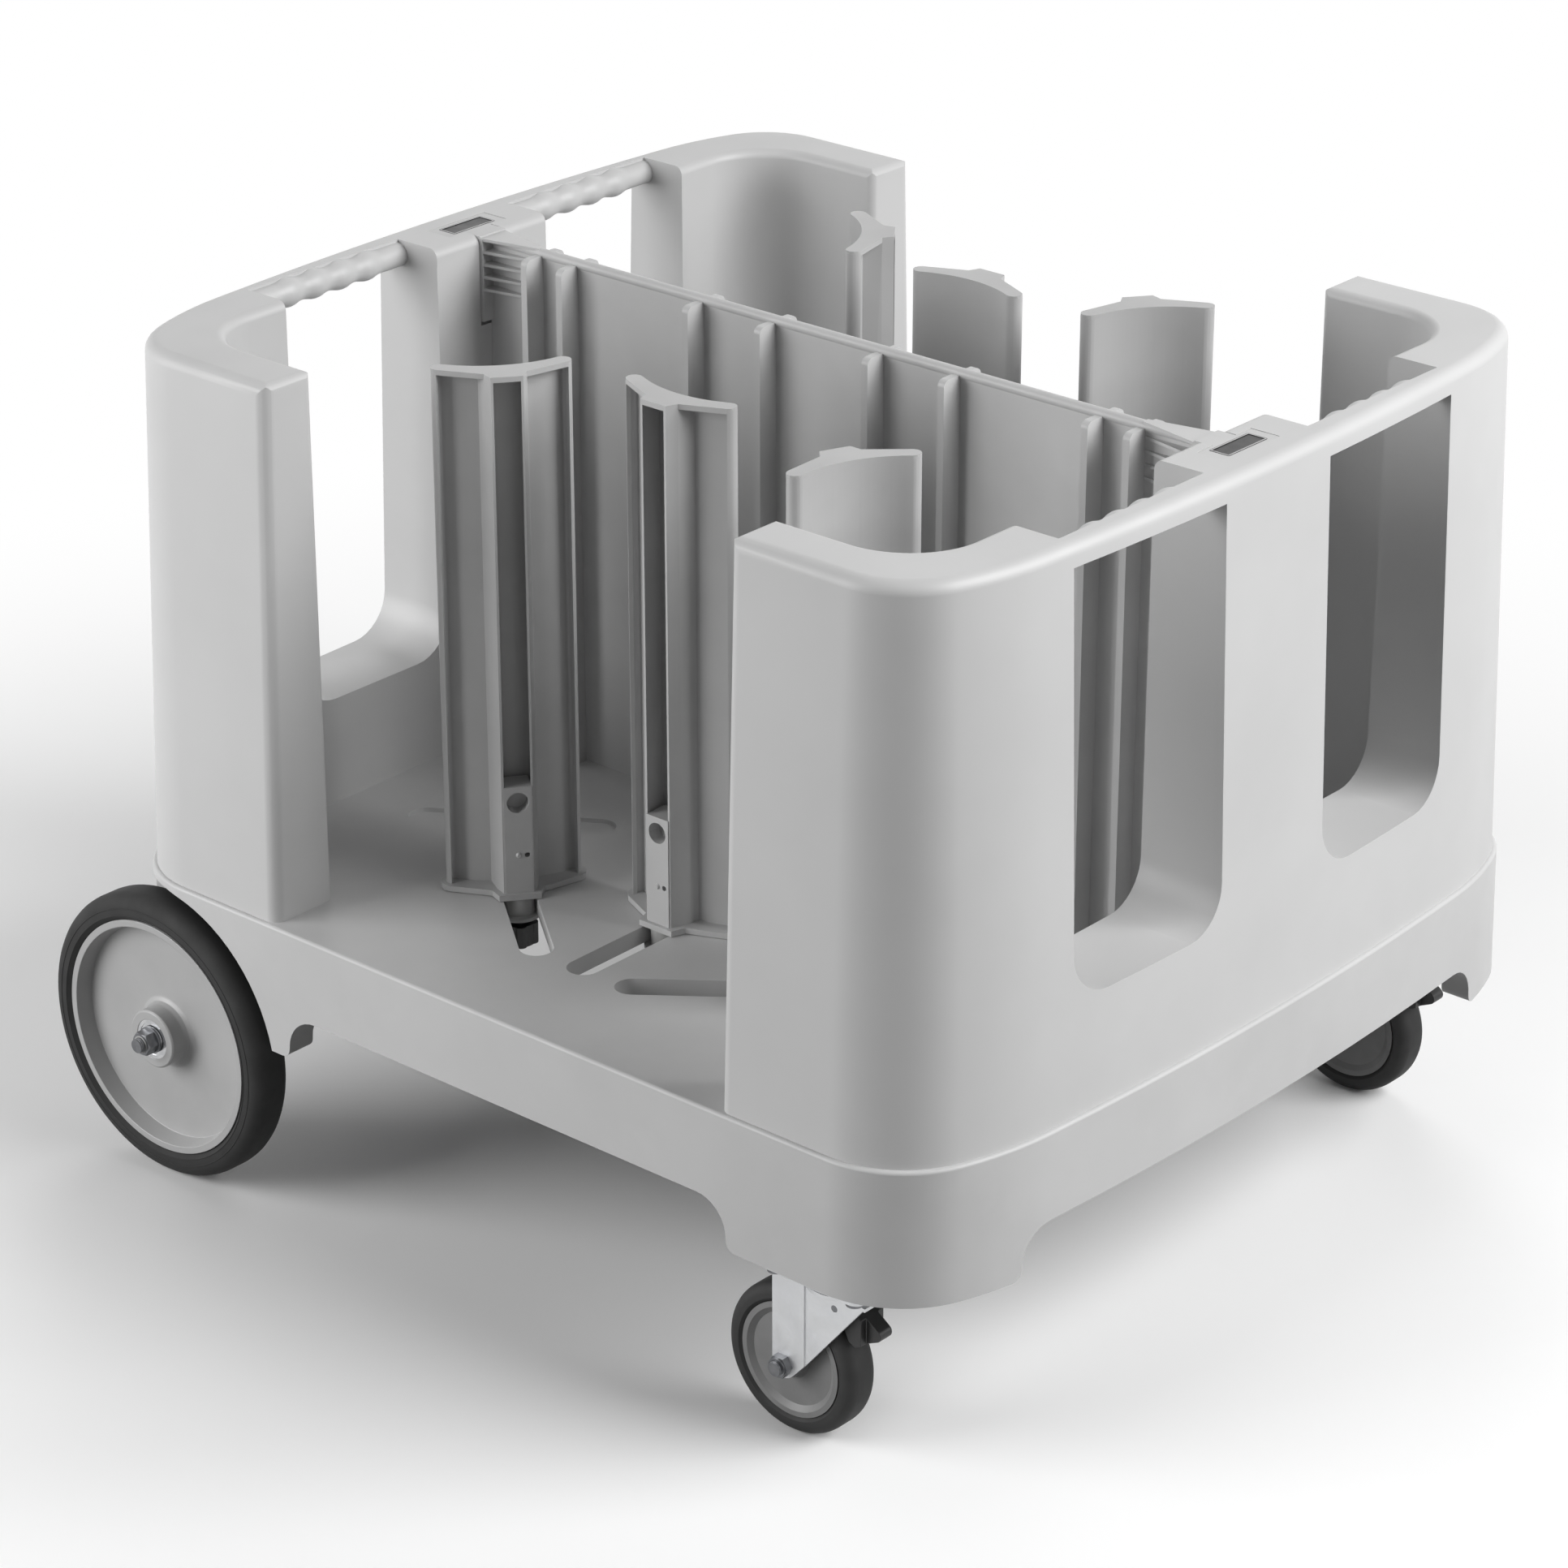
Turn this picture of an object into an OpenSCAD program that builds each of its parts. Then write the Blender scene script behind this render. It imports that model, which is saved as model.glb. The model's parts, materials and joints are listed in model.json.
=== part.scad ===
// Plate dispenser cart. A moulded base on two fixed rear wheels and two swivel
// casters carries two C-shaped end walls, a ribbed centre divider and six towers.
// Each tower slides in a slot of the deck, turns on its stud and is clamped by a
// knob under the deck, so that stacks of plates of any size are held upright.
// Frame: X runs along the cart with the casters at +X, Y across it and Z up. The
// origin is on the floor, under the middle of the whole cart. Sizes in millimetres.

/* [Base] */
// Width of the base at the deck's edge
base_w = 821; // [790:1:850]
// Length of the base along its centre line
base_l = 922; // [890:1:960]
// Height of the deck's top face
deck_z = 271; // [266:1:290]
// Thickness of the deck
deck_t = 15; // [10:1:20]
// Thickness of the skirt round the deck
skirt_t = 24; // [16:1:30]
// Height of the skirt's straight lower edge
skirt_z = 197; // [185:1:212]
// Draft of the skirt, in degrees
skirt_draft = 1.2; // [0.5:0.1:2.5]
// Rounding of the deck's rim
rim_r = 3; // [3:0.5:9]
// Radius of the lower corners of the skirt's feet
foot_r = 9; // [4:0.5:9]
// How much larger the corner's second arc is than its first
corner_step = 215; // [200:2.5:235]
// How much larger the bowed end's radius is than the second arc
bow_step = 3250; // [3000:12.5:3400]

/* [End walls] */
// Height of the walls' top above the floor
wall_z = 730; // [700:1:760]
// Ledge of the deck left outside the walls
ledge = 4; // [2:0.5:8]
// Draft of the walls' outer face, in degrees
wall_draft = 1.8; // [1:0.1:2.5]
// Thickness of the end part at its foot
end_t = 82; // [72:1:90]
// Thickness of the side arms at their foot
arm_t = 66; // [56:1:74]
// Place of the arms' free ends, from the middle of the base
arm_x = 240; // [225:1:260]
// Radius of the inner corners
inner_r = 60; // [45:1:70]
// Rounding of the outer top edge
top_r = 11; // [8:0.5:13]
// Rounding of the inner top edge and of the free ends
edge_r = 8; // [5:0.5:10]
// Half width of the centre post
post_half = 66; // [62:1:75]
// Width of each window beside the post
window_w = 174; // [150:1:180]
// Height of the windows' sill above the deck
sill_h = 95; // [80:1:120]
// Corner radius at the sill
window_r = 38; // [20:1:50]
// Height of the outer strip of the handle
strip_h = 19; // [15:1:24]
// Thickness of the outer strip of the handle
strip_t = 22; // [16:1:26]
// Radius of the grip between its bumps
grip_r = 10.5; // [8:0.5:12]
// Height of a finger bump over the grip
bump_h = 2.5; // [1:0.5:4]
// Length of one finger bump
bump_l = 30; // [26:1:34]

/* [Divider] */
// Height of the divider's top above the floor
divider_z = 728; // [690:1:730]
// Thickness of the panel
panel_t = 6; // [4:0.5:8]
// Radius of the bead along the top
bead_r = 4.5; // [3:0.5:6]
// Depth of the ribs on each side
rib_d = 23; // [15:1:30]
// Thickness of the ribs
rib_t = 6.5; // [4:0.5:8]
// Width of the head that drops into the post
head_w = 68; // [60:1:80]
// Thickness of the head along the cart
head_t = 26; // [20:1:28]
// Height of the head
head_h = 76; // [60:1:90]
// Width of the neck between the head and the fins
neck_w = 30; // [24:1:36]

/* [Towers] */
// Height of the towers' top above the floor
tower_z = 724; // [600:1:728]
// Radius of the plates' side of a tower
face_r = 102; // [90:1:120]
// Half the chord of that side
face_half = 46; // [42:1:48]
// Radius of the rounded tips
tip_r = 7; // [5:0.5:8]
// Wall thickness of a tower
tower_t = 3.5; // [2.5:0.5:5]
// Wall of a tower's channel
channel_t = 2; // [1.5:0.25:3]
// Distance from the stud's axis to the middle of the plates' side
face_x = 18; // [17:0.5:22]
// Distance from the stud's axis to the nose
nose_x = 10; // [9:0.5:14]
// Thickness of the top plate
cap_t = 4.5; // [3:0.5:6]
// Thickness of the bottom flange
flange_t = 5; // [3:0.5:7]
// How far the flange stands out
flange_out = 4.5; // [2:0.5:6]
// Height of the foot block
block_h = 95; // [70:1:110]
// Width of the slots in the deck
slot_w = 28; // [24:1:32]
// Slot end nearest the long side, from the cart's centre line across
slot_x = 52; // [48:1:60]
// The same end, from the cart's long centre line
slot_y = 298; // [285:1:305]
// Distance between the centres of a slot's ends
slot_l = 190; // [180:1:200]
// The same for the middle slots
middle_l = 170; // [160:1:180]
// Angle of the outer slots, in degrees
slot_a = 38; // [34:1:42]
// Radius of the clamp knob
knob_r = 16; // [14:0.5:19]
// Height of the clamp knob
knob_h = 25; // [20:1:28]

/* [Rear wheels] */
// Radius of the rear wheels
wheel_r = 127; // [118:0.5:128]
// Width of the rear tyres
wheel_w = 38; // [32:1:42]
// Distance from the middle of the cart to the middle of the tyre
wheel_y = 405; // [402:1:412]
// Distance of the axle from the end of the base
axle_in = 82; // [75:1:95]
// Radius of the rim
rim_out_r = 104.5; // [98:0.5:108]
// Radius of the axle
axle_r = 7.5; // [6.5:0.5:8]
// Free space round the wheel in its arch
arch_gap = 10; // [8:0.5:12]

/* [Casters] */
// Height of a caster, from the floor to its mounting face
caster_h = 157; // [154:1:165]
// Radius of the caster wheels
roller_r = 63.5; // [58:0.5:65]
// Width of the caster tyres
roller_w = 32; // [28:1:34]
// Distance of the swivel axis from the front end of the base
swivel_in = 131; // [125:1:140]
// Distance of the swivel axis from the long centre line
swivel_y = 370; // [366:1:374]
// Distance that the axle trails the swivel axis
trail = 38; // [34:1:42]
// Thickness of the fork's sheet
fork_t = 3; // [2:0.5:4]
// Clear width inside the fork
fork_w = 36; // [35:0.5:40]
// Length of the mounting plate
plate_l = 100; // [92:1:105]
// Width of the mounting plate
plate_w = 78; // [72:1:80]

/* [Hidden] */
$fn = 96;
// Finest steps, for the long shallow arc of the bowed ends
bow_fn = 1440;
// Steps of a small rounding
round_n = 5;

// Overrun of every cut
over = 1;
// Grid of the swept sections, and how far one sweep runs into the next
grid = 0.01;
seam = 0.002;
// Free gap between pieces that move past each other
gap = 0.3;
// Radial clearance of a running fit
run = 0.05;
// Clearance of a head in its pocket
slip = 0.4;

shell_grey = [0.68, 0.68, 0.68];
tower_grey = [0.62, 0.62, 0.63];
black = [0.10, 0.10, 0.10];
rim_grey = [0.58, 0.58, 0.59];
steel = [0.72, 0.72, 0.74];
plate_dark = [0.20, 0.20, 0.21];

// Outline of the base: long side, corner arc, end arc and bowed end meet smoothly
// at headings whose sine and cosine are both short decimals, which leaves no crack
corner_dir = [0.936, -0.352];
bow_dir = [0.99712, -0.07584];
corner_a = acos(corner_dir.x);
bow_a = asin(-bow_dir.y);
side_r = base_w / 2 + corner_step * corner_dir.y + bow_step * bow_dir.y;
end_r = side_r + corner_step;
bow_r = end_r + bow_step;
bow_c = [base_l / 2 - bow_r, 0];
end_c = bow_c + bow_step * bow_dir;
side_c = end_c + corner_step * corner_dir;

// Depth of the swept sections, and how far the filled core lies inside the outline
sweep_d = 110;
core_in = 50;

// Walls
wall_foot = -ledge;
wall_top = wall_foot - (wall_z - deck_z) * tan(wall_draft);
wall_end_x = base_l / 2 + wall_foot;
inner_x = wall_end_x - end_t;
inner_y = base_w / 2 + wall_foot - arm_t;
strip_z = wall_z - strip_h;
grip_x = base_l / 2 + wall_top - strip_t;
grip_z = wall_z - grip_r - bump_h;
bump_count = 4;
sill_z = deck_z + sill_h;
window_top_r = 4;
neck_l = 16;
head_x = inner_x + neck_l;
pocket_slack = 4;
pocket_z = wall_z - head_h - pocket_slack;

// Badge plates in the divider's heads
badge_l = 50;
badge_w = 19;
badge_t = 2.2;
badge_deep = 2;
badge_r = 2;

// Bolts that hold the walls from under the deck
wall_bolt_r = 4;
wall_bolt_l = 40;
wall_bolt_head_r = 8;
wall_bolt_head_h = 5;
wall_bolt_in = 12;

// Divider ribs, as shares of the distance to the post
rib_shares = [0.151, 0.359, 0.736, 0.843];
rib_drop = 5;
rib_top_r = 6;
fin_count = 5;
fin_t = 2.5;
fin_pitch = 11;
fin_l = 58;

// Feet and cut-outs of the skirt
rear_foot_x = 224;
front_foot_x = 252;
end_foot_y = 300;
cut_r = 30;

// Wheel arches
axle_x = base_l / 2 - axle_in;
arch_r = wheel_r + arch_gap;
well_gap = 14;
well_y = wheel_y - wheel_w / 2 - well_gap;
well_t = 8;

// Whole cart: the origin lies under the middle of its length
front_reach = base_l / 2 + (deck_z - skirt_z) * tan(skirt_draft);
shift_x = (axle_x + wheel_r - front_reach) / 2;

// Rear wheel: hub, disc and rim
rim_t = 6;
rim_in_r = rim_out_r - rim_t;
rim_half = 17;
dish = 15;
dish_draft = 3;
disc_t = 7;
hub_r = 26;
hub_fillet = 7;
hub_out = 21;
hub_back = 20;
tyre_shoulder = 12;
bearing_r = 17.5;
bearing_w = 11;
bearing_in = 0.5;
race_step = 0.6;
race_in_r = 11;
race_out_r = 14.5;
thread_r = 6;
washer_r = 12;
washer_t = 2.5;
nut_af = 19;
nut_h = 10;
thread_out = 5;

// Axle brackets
bracket_y = 300;
bracket_t = 6;
bracket_l = 84;
flange_w = 44;
bracket_foot_r = 22;
boss_r = 15;
boss_l = 24;
bracket_bolt_r = 4;
bracket_bolt_in = 15;
spacer_r = 11;

// Caster
swivel_x = base_l / 2 - swivel_in;
plate_t = 3.5;
plate_bolt_l = 78;
plate_bolt_w = 58;
caster_bolt_r = 4;
caster_bolt_l = 26;
caster_bolt_head_r = 7;
caster_bolt_head_h = 4.5;
pad_margin = 5;
pad_l = plate_l + 2 * pad_margin;
race_r = 34;
race_h = 11;
race_neck_r = 26;
crown_r = 26;
kingpin_r = 5;
kingpin_head_r = 8;
kingpin_head_h = 2;
leg_front = 11;
leg_fold = 21;
leg_round = 12;
strip_out = 1.2;
gusset_reach = 80;
roller_rim_r = 48.3;
roller_hub_r = 13;
roller_rim_t = 4.5;
roller_disc_t = 22;
roller_shoulder = 9;
bolt_r = 6;
bolt_head_af = 17;
bolt_head_h = 6;
lock_nut_h = 8;
bolt_out = 3;
pedal_pin_x = 12;
pedal_pin_r = 3;
pedal_boss_r = 6;
pedal_w = 27;
tongue_w = 14;
tongue_x = 20;
pedal_t = 6;
pedal_reach = 34;
pedal_drop = 19;
pedal_tip_r = 5.5;
shoe_x = 8;

// Towers: column and side of each, how far its stud is from the slot's outer end,
// and how far it is turned from the line of its slot
tower_column = [-1, 0, 1, -1, 0, 1];
tower_side = [-1, -1, -1, 1, 1, 1];
tower_in = [103, 99, 163, 108, 99, 108];
tower_turn = [0, 0, -61, 0, 0, 0];
face_a = asin(face_half / face_r);
nose_half = 13;
shoulder_x = 0;
shoulder_half = 17;
root_half = 20;
tip_a = 30;
stud_r = 5;
stud_up = 60;
bush_gap = 0.5;
bush_r = slot_w / 2 - bush_gap;
bush_flange_r = 19;
bush_flange_t = 3;
block_half = nose_half - channel_t / 2 - gap;
block_out = 1;
access_r = 9;
access_down = 14;
access_deep = 12;
rivet_r = 3;
rivet_h = 1.5;
rivet_up = 34;
drain_r = 2.2;
drain_y = 7;
cross_pin_r = 2;
knob_lobes = 5;
lobe_r = 5;
knob_neck_r = 9;
knob_neck_h = 6;

// Shallow recesses in the deck, one under each stack
recess_x = 235;
recess_y = 136;
recess_l = 150;
recess_w = 30;
recess_d = 4;
recess_a = 32;

// Points along an arc
function arc(c, r, a, b, n) =
    [for (i = [0:n]) c + r * [cos(a + (b - a) * i / n), sin(a + (b - a) * i / n)]];
function without_last(p) = [for (i = [0:len(p) - 2]) p[i]];
function reversed(p) = [for (i = [len(p) - 1:-1:0]) p[i]];
function flipped(p, sx, sy) = [for (q = p) [sx * q.x, sy * q.y]];

// A quarter of the base's outline, moved outwards by e, and the whole of it
function quarter(e) = concat(
    without_last(arc(side_c, side_r + e, -90, -corner_a, 12)),
    without_last(arc(end_c, end_r + e, -corner_a, -bow_a, 4)),
    arc(bow_c, bow_r + e, -bow_a, 0, 4));
function outline(e) = let (q = quarter(e)) concat(
    q,
    reversed(without_last(flipped(q, 1, -1))),
    flipped(q, -1, -1),
    reversed(without_last(flipped(q, -1, 1))));

// Outer side of the skirt and of a wall from the foot up, as offset from the outline and
// height, on a fine grid; and that side closed at depth d behind the outline
function on_grid(p) = [for (q = p) [round(q.x / grid) * grid, q.y]];
base_face = on_grid(concat(
    [[(deck_z - caster_h) * tan(skirt_draft), caster_h]],
    arc([-rim_r, deck_z - rim_r], rim_r, 0, 90, round_n)));
wall_face = on_grid(concat(
    [[wall_foot, deck_z]],
    arc([wall_top + top_r * (tan(wall_draft) - 1 / cos(wall_draft)), wall_z - top_r],
        top_r, wall_draft, 90, round_n)));
function closed(face, d) = concat([[-d, face[0].y]], face, [[-d, face[len(face) - 1].y]]);

// Stadium with its first centre at the origin
function stadium(l, w) = concat(
    arc([l, 0], w / 2, -90, 90, 12), arc([0, 0], w / 2, 90, 270, 12));

// Rounded rectangle about the origin
function rounded(l, w, r) = concat(
    arc([l / 2 - r, w / 2 - r], r, 0, 90, round_n), arc([r - l / 2, w / 2 - r], r, 90, 180, round_n),
    arc([r - l / 2, r - w / 2], r, 180, 270, round_n), arc([l / 2 - r, r - w / 2], r, 270, 360, round_n));

// Towers: outer end of a slot, its direction inwards, and the stud's place
function slot_end(i) = [tower_column[i] * slot_x, tower_side[i] * slot_y];
function slot_in(i) = -tower_side[i] * (90 - tower_column[i] * (90 - slot_a));
function slot_length(i) = tower_column[i] == 0 ? middle_l : slot_l;
function slot_start(i) = tower_column[i] == 0 ? [0, tower_side[i] * slot_y] : slot_end(i);
function stud_at(i) = slot_start(i) + tower_in[i] * [cos(slot_in(i)), sin(slot_in(i))];

// Plan of a tower, moved outwards by e: the nose points along +X, the plates' side
// is the hollow arc at -X
face_c = [-face_x - face_r, 0];
tip_c = face_c + (face_r + tip_r) * [cos(face_a), sin(face_a)];
function half_plan(e) = concat(
    without_last(arc(face_c, face_r - e, 0, face_a, 6)),
    arc(tip_c, tip_r + e, 180 + face_a, tip_a, 6),
    [[shoulder_x + e / 2, shoulder_half + e], [nose_x + e, nose_half + e]]);
function tower_plan(e) = let (h = half_plan(e))
    concat(h, reversed([for (i = [1:len(h) - 1]) [h[i].x, -h[i].y]]));

module placed() {
    translate([shift_x, 0, 0]) children();
}

module both_sides() {
    for (s = [0, 1]) mirror([0, s, 0]) children();
}

// Lies a profile's height along Y, outwards on the -Y side
module across() {
    rotate([90, 0, 0]) children();
}

module hex(af, h) {
    cylinder(r = af / 2 / cos(30), h = h, $fn = 6);
}

// One arc of a face's sweep, and all of it round one end of the base
module sweep_arc(c, r, a, b, section, fn) {
    translate([c.x, c.y, 0])
        rotate([0, 0, a])
            rotate_extrude(angle = b - a, $fn = fn)
                polygon([for (p = section) [r + p.x, p.y]]);
}

module sweep_end(face, x0) {
    both_sides() {
        translate([x0, 0, 0])
            rotate([90, 0, 90])
                linear_extrude(side_c.x + seam - x0)
                    polygon([for (p = closed(face, sweep_d)) [-base_w / 2 - p.x, p.y]]);
        sweep_arc(side_c, side_r, -90, -corner_a + atan(seam / side_r), closed(face, side_r), 2 * $fn);
        sweep_arc(end_c, end_r, -corner_a, -bow_a + atan(seam / end_r), closed(face, sweep_d), 4 * $fn);
        mirror([0, 1, 0]) sweep_arc(bow_c, bow_r, 0, bow_a, closed(face, sweep_d), bow_fn);
    }
}

// Prism that rounds the edge at the origin of a solid lying at +X and +Y
module edge_cut(r, l) {
    linear_extrude(l)
        polygon(concat(
            [[-over, -over], [r, -over]],
            arc([r, r], r, 270, 180, round_n),
            [[-over, r]]));
}

// Outline of a cut-out between two feet of the skirt, from -a to b: round at the top, and
// flared at the feet's lower corners
function cut_outline(a, b) = let (
        h = skirt_z - caster_h, f = min(foot_r, h / 4), r = min(cut_r, 3 * h / 4))
    concat(
        [[-a - f, caster_h - over], [b + f, caster_h - over]],
        arc([b + f, caster_h + f], f, 270, 180, 6),
        arc([b - r, skirt_z - r], r, 0, 90, 8),
        arc([r - a, skirt_z - r], r, 90, 180, 8),
        arc([-a - f, caster_h + f], f, 0, -90, 6));

// Cut-outs of the skirt's lower edge, seen from the side and from the front
module skirt_cuts() {
    low = caster_h - over;
    across()
        translate([0, 0, -base_w])
            linear_extrude(2 * base_w)
                polygon(cut_outline(rear_foot_x, front_foot_x));
    translate([front_foot_x + pad_l, 0, 0])
        rotate([90, 0, 90])
            linear_extrude(base_l / 2)
                polygon(cut_outline(end_foot_y, end_foot_y));
    translate([-base_l, -well_y, low])
        cube([base_l - axle_x, 2 * well_y, skirt_z - low]);
}

module arch_space(r, y0) {
    both_sides()
        translate([-axle_x, -y0, wheel_r])
            across()
                cylinder(r = r, h = base_w - y0, $fn = 2 * $fn);
}

module wheel_wells() {
    intersection() {
        translate([0, 0, skirt_z])
            linear_extrude(deck_z - over - skirt_z)
                polygon(outline(-skirt_t / 2));
        arch_space(arch_r + well_t, well_y - well_t);
    }
}

// Blocks inside the front corners that the casters bolt to
module caster_pads() {
    intersection() {
        translate([0, 0, caster_h])
            linear_extrude(deck_z - over - caster_h)
                polygon(outline(-skirt_t / 2));
        both_sides()
            translate([swivel_x - pad_l / 2, -base_w / 2, caster_h])
                cube([pad_l, base_w / 2 - swivel_y + plate_w / 2 + 2 * fork_t, deck_z - over - caster_h]);
    }
}

module caster_bolt_places() {
    both_sides()
        for (x = [-1, 1], y = [-1, 1])
            translate([swivel_x + x * plate_bolt_l / 2, -swivel_y + y * plate_bolt_w / 2, 0]) children();
}

module wall_bolt_places() {
    for (m = [0, 1]) mirror([m, 0, 0])
        both_sides() {
            translate([arm_x + wall_bolt_in, -inner_y - wall_bolt_in, 0]) children();
            for (y = [post_half + wall_bolt_in, post_half + window_w - wall_bolt_in])
                translate([inner_x + end_t / 2, -y, 0]) children();
        }
}

module bracket_bolt_places() {
    both_sides()
        for (x = [-1, 1])
            translate([-axle_x + x * (bracket_l / 2 - bracket_bolt_in), flange_w / 2 - bracket_y, 0])
                children();
}

module base_deck() {
    color(shell_grey) placed() difference() {
        union() {
            difference() {
                union() {
                    for (m = [0, 1]) mirror([m, 0, 0]) sweep_end(base_face, 0);
                    translate([0, 0, caster_h])
                        linear_extrude(deck_z - caster_h) polygon(outline(-core_in));
                }
                translate([0, 0, caster_h - over])
                    linear_extrude(deck_z - deck_t - caster_h + over) polygon(outline(-skirt_t));
                skirt_cuts();
            }
            wheel_wells();
            caster_pads();
        }
        arch_space(arch_r, well_y);
        for (i = [0:5])
            translate([slot_start(i).x, slot_start(i).y, deck_z - deck_t - over])
                rotate([0, 0, slot_in(i)])
                    linear_extrude(deck_t + 2 * over) polygon(stadium(slot_length(i), slot_w));
        for (x = [-1, 1], y = [-1, 1])
            translate([x * recess_x, y * recess_y, deck_z - recess_d])
                rotate([0, 0, x * y * recess_a])
                    translate([-recess_l / 2, 0, 0])
                        linear_extrude(recess_d + over) polygon(stadium(recess_l, recess_w));
        caster_bolt_places()
            translate([0, 0, caster_h - over]) cylinder(r = caster_bolt_r, h = caster_bolt_l + over);
        wall_bolt_places()
            translate([0, 0, deck_z - deck_t - over]) cylinder(r = wall_bolt_r, h = deck_t + 2 * over);
        wall_bolt_places()
            translate([0, 0, caster_h - over])
                cylinder(r = wall_bolt_head_r + slip, h = deck_z - deck_t - caster_h + over);
        bracket_bolt_places()
            translate([0, 0, deck_z - deck_t - over]) cylinder(r = bracket_bolt_r, h = deck_t / 2 + over);
    }
}

// Section of the space inside a wall, d deep behind its face, flared at the top to round
// the wall's inner edge
function inside_section(d) = concat(
    [[-d, deck_z - over], [0, deck_z - over]],
    arc([edge_r, wall_z - edge_r], edge_r, 180, 90, round_n),
    [[edge_r, wall_z + over], [-d, wall_z + over]]);

module wall_inside() {
    cx = inner_x - inner_r;
    cy = inner_y - inner_r;
    both_sides() {
        rotate([90, 0, 90])
            linear_extrude(cx) polygon([for (p = inside_section(inner_y)) [-inner_y - p.x, p.y]]);
        translate([cx, -cy, 0])
            rotate([0, 0, -90])
                rotate_extrude(angle = 90) polygon([for (p = inside_section(inner_r)) [inner_r + p.x, p.y]]);
    }
    translate([0, cy, 0])
        rotate([90, 0, 0])
            linear_extrude(2 * cy) polygon([for (p = inside_section(inner_x)) [inner_x + p.x, p.y]]);
}

// Opening of a window, with square top corners and round ones at the sill
module window_cut() {
    translate([inner_x - over, 0, 0])
        rotate([90, 0, 90])
            linear_extrude(end_t + 2 * over)
                polygon(concat(
                    arc([-post_half - window_r, sill_z + window_r], window_r, -90, 0, 8),
                    [[-post_half, strip_z], [-post_half - window_w, strip_z]],
                    arc([window_r - post_half - window_w, sill_z + window_r], window_r, 180, 270, 8)));
}

// Free space behind the strip of a handle, where the fingers go round the grip
module grip_space() {
    translate([inner_x - over, -post_half - window_w, strip_z - over])
        cube([grip_x - inner_x + over, window_w, wall_z - strip_z + 2 * over]);
}

// The grip itself, a round bar with four finger bumps
function bump(t) = bump_h * (1 - cos(360 * t)) / 2;
module grip() {
    plain = (window_w - bump_count * bump_l) / 2;
    steps = 8;
    translate([grip_x, -post_half + over, grip_z])
        across()
            rotate_extrude()
                polygon(concat(
                    [[0, 0], [grip_r, 0]],
                    [for (k = [0:bump_count * steps])
                        [grip_r + bump(k / steps), over + plain + bump_l * k / steps]],
                    [[grip_r, window_w + 2 * over], [0, window_w + 2 * over]]));
}

// Pocket in the post for the divider's head
module head_pocket() {
    translate([inner_x - over, -neck_w / 2 - slip, pocket_z])
        cube([head_x - inner_x + 2 * over, neck_w + 2 * slip, wall_z - pocket_z + over]);
    translate([head_x - slip, -head_w / 2 - slip, pocket_z])
        cube([head_t + 2 * slip, head_w + 2 * slip, wall_z - pocket_z + over]);
}

// Roundings of an arm's free end: along the top, down the inside and down the
// drafted outside
module arm_end_cuts() {
    translate([arm_x, base_w / 2, wall_z])
        rotate([90, 90, 0]) edge_cut(edge_r, base_w);
    both_sides() {
        translate([arm_x, -inner_y, deck_z - over])
            mirror([0, 1, 0]) edge_cut(edge_r, wall_z - deck_z + 2 * over);
        translate([arm_x, -base_w / 2 - wall_foot, deck_z])
            rotate([-wall_draft, 0, 0])
                translate([0, 0, -top_r]) edge_cut(top_r, wall_z - deck_z + 2 * top_r);
    }
}

module end_wall() {
    difference() {
        sweep_end(wall_face, arm_x);
        wall_inside();
        both_sides() difference() {
            union() {
                window_cut();
                grip_space();
            }
            grip();
        }
        head_pocket();
        arm_end_cuts();
        wall_bolt_places()
            translate([0, 0, deck_z - over]) cylinder(r = wall_bolt_r, h = wall_bolt_l - deck_t + over);
    }
}

module end_wall_front() {
    color(shell_grey) placed() end_wall();
}

module end_wall_rear() {
    color(shell_grey) placed() difference() {
        mirror([1, 0, 0]) end_wall();
        arch_space(arch_r, well_y);
    }
}

module wall_bolts() {
    color(steel) placed() wall_bolt_places() {
        translate([0, 0, deck_z - deck_t]) cylinder(r = wall_bolt_r, h = wall_bolt_l - over);
        translate([0, 0, deck_z - deck_t - wall_bolt_head_h])
            cylinder(r = wall_bolt_head_r, h = wall_bolt_head_h);
    }
}

// Half of the divider's end: fins fanning out to the neck, and the head
module divider_head() {
    neck_x = inner_x - fin_l;
    for (k = [0:fin_count - 1])
        translate([0, 0, divider_z - fin_t - k * fin_pitch])
            linear_extrude(fin_t)
                polygon([
                    [neck_x, -panel_t / 2], [inner_x, -neck_w / 2],
                    [inner_x, neck_w / 2], [neck_x, panel_t / 2]]);
    translate([inner_x - rib_t / 2, -neck_w / 2, wall_z - head_h])
        cube([rib_t, neck_w, divider_z - wall_z + head_h]);
    translate([inner_x - over, -neck_w / 2, wall_z - head_h])
        cube([head_x - inner_x + 2 * over, neck_w, head_h - slip]);
    difference() {
        translate([head_x, -head_w / 2, wall_z - head_h]) cube([head_t, head_w, head_h - slip]);
        translate([head_x + head_t / 2, 0, wall_z - slip - badge_deep])
            linear_extrude(badge_deep + over) polygon(rounded(badge_w, badge_l, badge_r));
    }
}

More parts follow.
